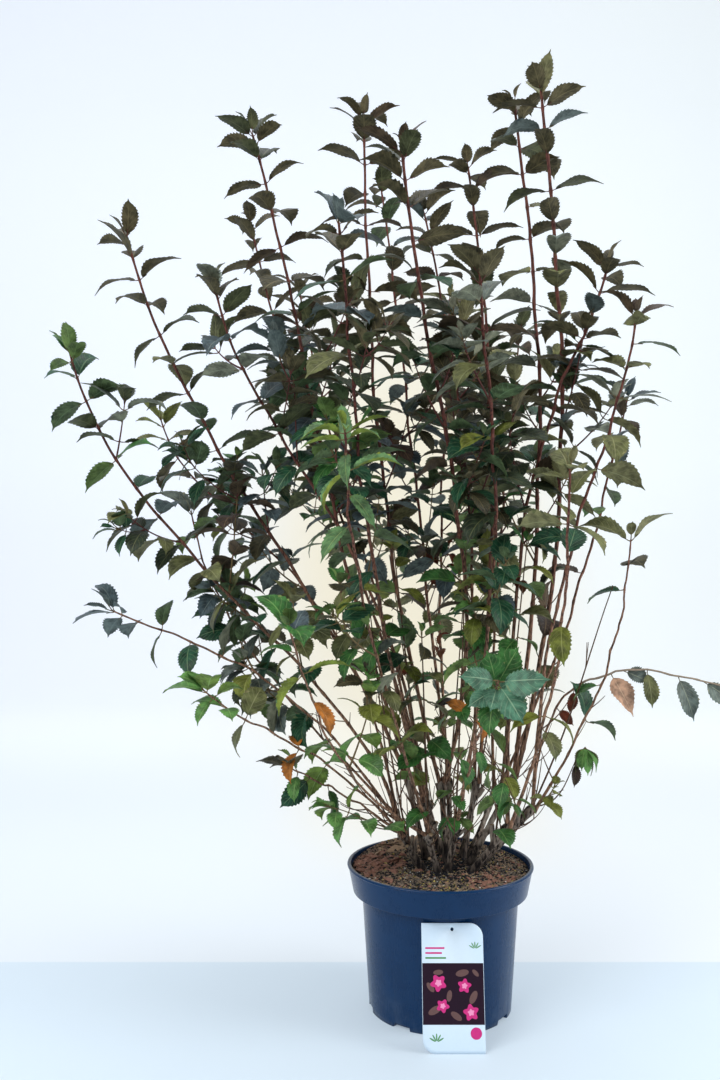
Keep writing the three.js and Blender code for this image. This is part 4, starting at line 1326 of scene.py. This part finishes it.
def on_label(x, y, lift):
    """A point on the label: x across from its middle, y up from its foot, lift off its back face."""
    lean = np.radians(LABEL_LEAN)
    foot = np.array([LABEL_FOOT[0], LABEL_FOOT[1], 0.0])
    right, up = np.array([1.0, 0, 0]), np.array([0, np.sin(lean), np.cos(lean)])
    out = np.cross(right, up)
    x, y, lift = (np.asarray(v, float)[..., None] for v in (x, y, lift))
    return foot + x * right + y * up + lift * out


def label_outline(turn):
    """Where a ray from the hanging hole meets the card's edge: the nearest of its sides and round corners."""
    half, hole = LABEL_WIDTH / 2, LABEL_LENGTH - LABEL_HOLE_FROM_TOP
    c, s = np.cos(turn), np.sin(turn)
    reach = np.minimum(half / np.maximum(np.abs(c), 1e-9),
                       np.where(s > 0, LABEL_LENGTH - hole, hole) / np.maximum(np.abs(s), 1e-9))
    x, y = reach * c, hole + reach * s
    r = LABEL_CORNER
    for cx, cy, sign in ((half - r, LABEL_LENGTH - r, 1), (-half + r, r, -1)):
        beyond = (sign * (x - cx) > 0) & (sign * (y - cy) > 0)
        dx, dy = 0 - cx, hole - cy
        b = dx * c + dy * s
        reach = np.where(beyond, -b + np.sqrt(np.maximum(b * b - (dx * dx + dy * dy) + r * r, 0)), reach)
        x, y = reach * c, hole + reach * s
    return x, y


def build_label():
    """The card as rings of points: through the hanging hole, out over the front, round the edge and in again
    behind. The two sharp corners have points of their own."""
    hole = LABEL_LENGTH - LABEL_HOLE_FROM_TOP
    corners = np.arctan2([LABEL_LENGTH - hole, -hole], [-LABEL_WIDTH / 2, LABEL_WIDTH / 2])
    turn = np.unique(np.concatenate([turns(LABEL_SIDES), corners % (2 * np.pi)]))
    ex, ey = label_outline(turn)
    bevel = LABEL_BEVEL * ex, LABEL_BEVEL * (ey - hole) + hole
    around = LABEL_HOLE_RADIUS * np.cos(turn), hole + LABEL_HOLE_RADIUS * np.sin(turn)
    sides = len(turn)
    rings = [(*around, 0), (*around, 1), (*bevel, 1), (ex, ey, 0.7), (ex, ey, 0.3), (*bevel, 0)]
    points = np.concatenate([on_label(x, y, np.full(sides, LABEL_THICKNESS * lift)) for x, y, lift in rings])
    quads = grid_quads(len(rings), sides, True)
    j = np.arange(sides)
    k = (j + 1) % sides
    last = (len(rings) - 1) * sides
    close = np.stack([last + j, last + k, k, j], axis=-1)
    card = plain("label_card", srgb(207, 226, 242), 0.42, 0.02, 0.985)
    add_piece("label_card", points, [quads[:, ::-1], close[:, ::-1]], [card], "label", ["label"])
    build_print()


def flat_shape(x, y, lift):
    """A closed outline on the card as one thin plate with many corners."""
    low, high = (on_label(x, y, np.full(len(x), lift + thick)) for thick in (0, PRINT_THICKNESS))
    j = np.arange(len(x))[None]
    return np.concatenate([low, high]), [grid_quads(2, len(x), True), j[:, ::-1], len(x) + j]


def bar(x0, y0, x1, y1):
    """The corners of an upright rectangle."""
    return np.array([x0, x1, x1, x0]), np.array([y0, y0, y1, y1])


def blob(cx, cy, rx, ry, turn=0.0, petals=0, depth=0.0):
    """An ellipse, or with petals a rosette: its reach swells and shrinks petals times round it."""
    a = turns(60)
    reach = 1 - depth * (1 + np.cos(petals * a)) / 2 if petals else 1.0
    x, y = rx * reach * np.cos(a), ry * reach * np.sin(a)
    return cx + x * np.cos(turn) - y * np.sin(turn), cy + x * np.sin(turn) + y * np.cos(turn)


PRINT_MARGIN = 0.0006
PRINT_THICKNESS = 0.00006
PRINT_LAYER = 0.00007  # from one layer of print to the next

# The printed leaves and rosettes: place, size and turn. The sprigs: place, how far out a leaf is, its length
# and width.
PRINT_LEAVES = ((-0.028, 0.060, 0.017, 0.5), (0.004, 0.052, 0.015, -0.6), (0.030, 0.078, 0.016, 1.1),
                (-0.034, 0.092, 0.013, -0.9), (0.014, 0.112, 0.016, 0.2), (0.034, 0.112, 0.010, -0.8),
                (-0.006, 0.080, 0.013, 1.4), (-0.022, 0.113, 0.012, 0.1))
PRINT_ROSETTES = ((-0.022, 0.098, 0.0125, 0.2), (0.017, 0.094, 0.0105, 0.8), (-0.016, 0.066, 0.010, 0.5),
                  (0.026, 0.057, 0.012, 1.1))
PRINT_SPRIGS = ((-0.026, 0.016, 0.007, 0.0052, 0.0011), (0.034, 0.146, 0.006, 0.0045, 0.0009))


def build_print():
    """A plain printed design: a plum panel with open rosettes and round leaves, rules and a sprig above it,
    and a disc and a sprig below."""
    side = LABEL_WIDTH / 2 - PRINT_MARGIN
    leaves = [(blob(x, y, size * 0.62, size * 0.3, turn), 1) for x, y, size, turn in PRINT_LEAVES]
    petals = [(blob(x, y, size, size, turn, 5, 0.34), 2) for x, y, size, turn in PRINT_ROSETTES]
    hearts = [(blob(x, y, size * 0.42, size * 0.42, turn, 5, 0.3), 3) for x, y, size, turn in PRINT_ROSETTES]
    sprigs = [(blob(x + out * np.cos(turn), y + out * np.sin(turn), length, width, turn), 0)
              for turn in np.radians([30, 60, 90, 120, 150]) for x, y, out, length, width in PRINT_SPRIGS]
    rules = [(bar(-0.041, low, right, low + 0.0025), 0)
             for low, right in ((0.146, -0.012), (0.139, -0.016), (0.132, -0.010))]
    disc = [(blob(0.033, 0.028, 0.0085, 0.0085), 0)]
    for name, colour, outlines in (
            ("print_plum", (34, 14, 32), [(bar(-side, 0.040, side, 0.126), 0)]),
            ("print_leaf", (104, 78, 76), leaves),
            ("print_pink", (206, 52, 128), petals + rules[:2] + disc),
            ("print_blush", (238, 150, 192), hearts),
            ("print_green", (92, 148, 96), rules[2:] + sprigs)):
        parts = [flat_shape(x, y, LABEL_THICKNESS + layer * PRINT_LAYER) for (x, y), layer in outlines]
        ink = plain(name, srgb(*colour), 0.4, 0.0, 0.9)
        add_piece(name, *join_parts(parts), [ink], "label", smooth=False)


# ---------------------------------------------------------------- stage


WALL_DEPTH = 4.3
SWEEP_RADIUS = 1.2  # of the curve between floor and wall
FLOOR_EDGE = (0.166, 0.174)  # where the pale blue of the floor ends, from front to back
WALL_START = (1.2, 3.6)  # where the wall's colour takes over, from front to back
SHEET_FRONT = -6.0
SHEET_TOP = 6.5
SHEET_HALF = 7.0
ROOM_COLOUR = (0.95, 0.97, 1.0, 1.0)
ROOM_STRENGTH = 0.42
FILM_HEIGHT = 36  # in mm, like the lens
LENS = 35.4
CAMERA_PLACE = (-0.131, -1.74, 0.759)
SOFT_WHITE = (1.0, 0.99, 0.97)

# Each light's name, place, what it points at, width and height, power and colour.
LIGHTS = (
    ("soft_left", (-2.4, -2.2, 2.8), (0, 0, 0.7), (2.4, 2.8), 113, SOFT_WHITE),
    ("soft_right", (2.6, -0.6, 1.6), (0, 0, 0.7), (1.4, 2.2), 64, SOFT_WHITE),
    ("soft_top", (0, 0.2, 3.4), (0, 0.1, 0), (2.6, 2.6), 55, (1.0, 1.0, 1.0)),
)


def studio_paint_and_light():
    """Pale blue in front, grey from a straight edge behind the pot and nearly white on the wall. The grey and
    the wall carry a painted pool of yellowish light in the middle, and both get a little lighter to the
    right, painted light where the lamps leave them darker. It glows in its own colour, less on the wall,
    painted light that keeps it even."""
    paint = Finish("studio_paint_and_light")
    x, y, z = (paint.part(paint.place, axis) for axis in range(3))

    def warm_light_patch(middle, wide):
        """Where the painted yellowish light lies: 1 round a point 0.75 m up, falling to 0 away from it."""
        dx, dz = (x - middle) * wide, (z - 0.75) * 0.6
        return 1 - (dx * dx + dz * dz).math("SQRT").smooth(0.35, 1.25)

    # painted light: the grey behind the pot is a little lighter to the right, where the plant's shadow falls
    grey_painted_lighter_right = x.smooth(0.1, 0.6).mix(srgb(169, 176, 183), srgb(172, 178, 184))
    # painted light: a yellowish pool on the grey behind the pot
    beyond = (warm_light_patch(0.04, 2.0) * y.smooth(0.3, 1.3)).mix(grey_painted_lighter_right, srgb(173, 171, 163))
    near = y.smooth(*FLOOR_EDGE).mix(srgb(170, 183, 194), beyond)
    # painted light: the wall is a little lighter to the right
    wall = x.smooth(-0.6, 1.6).mix(srgb(225, 231, 239), srgb(229, 235, 238))
    # painted light: a yellowish pool in the middle of the wall
    wall = warm_light_patch(0.12, 1.0).mix(wall, srgb(221, 215, 196))
    colour = y.smooth(*WALL_START).mix(near, wall)
    # painted light: the sheet glows in its own colour, 0.6 in front, 0.9 behind the floor edge, less on the
    # wall and a little more high up
    glow = y.smooth(*FLOOR_EDGE, 0.6, 0.9) + y.smooth(*WALL_START, 0.0, -0.64) + z.smooth(0.8, 3.5, 0.0, 0.17)
    paint.set("Base Color", colour).set("Emission Color", glow.mix(srgb(0, 0, 0), colour))
    paint.set("Emission Strength", 1.0).set("Roughness", 0.7)
    return paint.material


def build_stage():
    """One sheet for floor and wall, soft light from both sides and above, and a bright room."""
    bend = np.linspace(0, 1, 60) * np.pi / 2
    curve = WALL_DEPTH - SWEEP_RADIUS + SWEEP_RADIUS * np.sin(bend)
    depth = np.concatenate([[SHEET_FRONT], curve, [WALL_DEPTH]])
    height = np.concatenate([[0.0], SWEEP_RADIUS * (1 - np.cos(bend)), [SHEET_TOP]])
    x = np.array([-SHEET_HALF, SHEET_HALF])
    points = np.stack(np.broadcast_arrays(x[None], depth[:, None], height[:, None]), axis=-1).reshape(-1, 3)
    mesh = bpy.data.meshes.new("studio_floor")
    mesh.from_pydata(points.tolist(), [], grid_quads(len(depth), 2, False).tolist())
    mesh.shade_smooth()
    floor = new_object("studio_floor", mesh)
    mesh.materials.append(studio_paint_and_light())

    for name, place, aim, size, power, colour in LIGHTS:
        light = bpy.data.lights.new(name, "AREA")
        light.shape = "RECTANGLE"
        light.size, light.size_y = size
        light.energy = power
        light.color = colour
        lamp = new_object(name, light)
        lamp.location = place
        lamp.rotation_euler = Vector(np.array(aim) - np.array(place)).to_track_quat("-Z", "Y").to_euler()

    world = bpy.data.worlds.new("bright_room")
    bpy.context.scene.world = world
    world.use_nodes = True
    background = world.node_tree.nodes["Background"]
    background.inputs["Color"].default_value = ROOM_COLOUR
    background.inputs["Strength"].default_value = ROOM_STRENGTH


def build_camera():
    """A level camera in front of the plant, a little to its left."""
    camera = bpy.data.cameras.new("camera")
    camera.sensor_fit = "VERTICAL"
    camera.sensor_height = FILM_HEIGHT
    camera.lens = LENS
    holder = new_object("camera", camera)
    holder.location = CAMERA_PLACE
    holder.rotation_euler = (np.pi / 2, 0, 0)
    bpy.context.scene.camera = holder
    bpy.context.scene.view_settings.view_transform = "Standard"


build_camera()
build_stage()
build_pot()
build_soil()
build_label()
build_stools()
build_shoots()
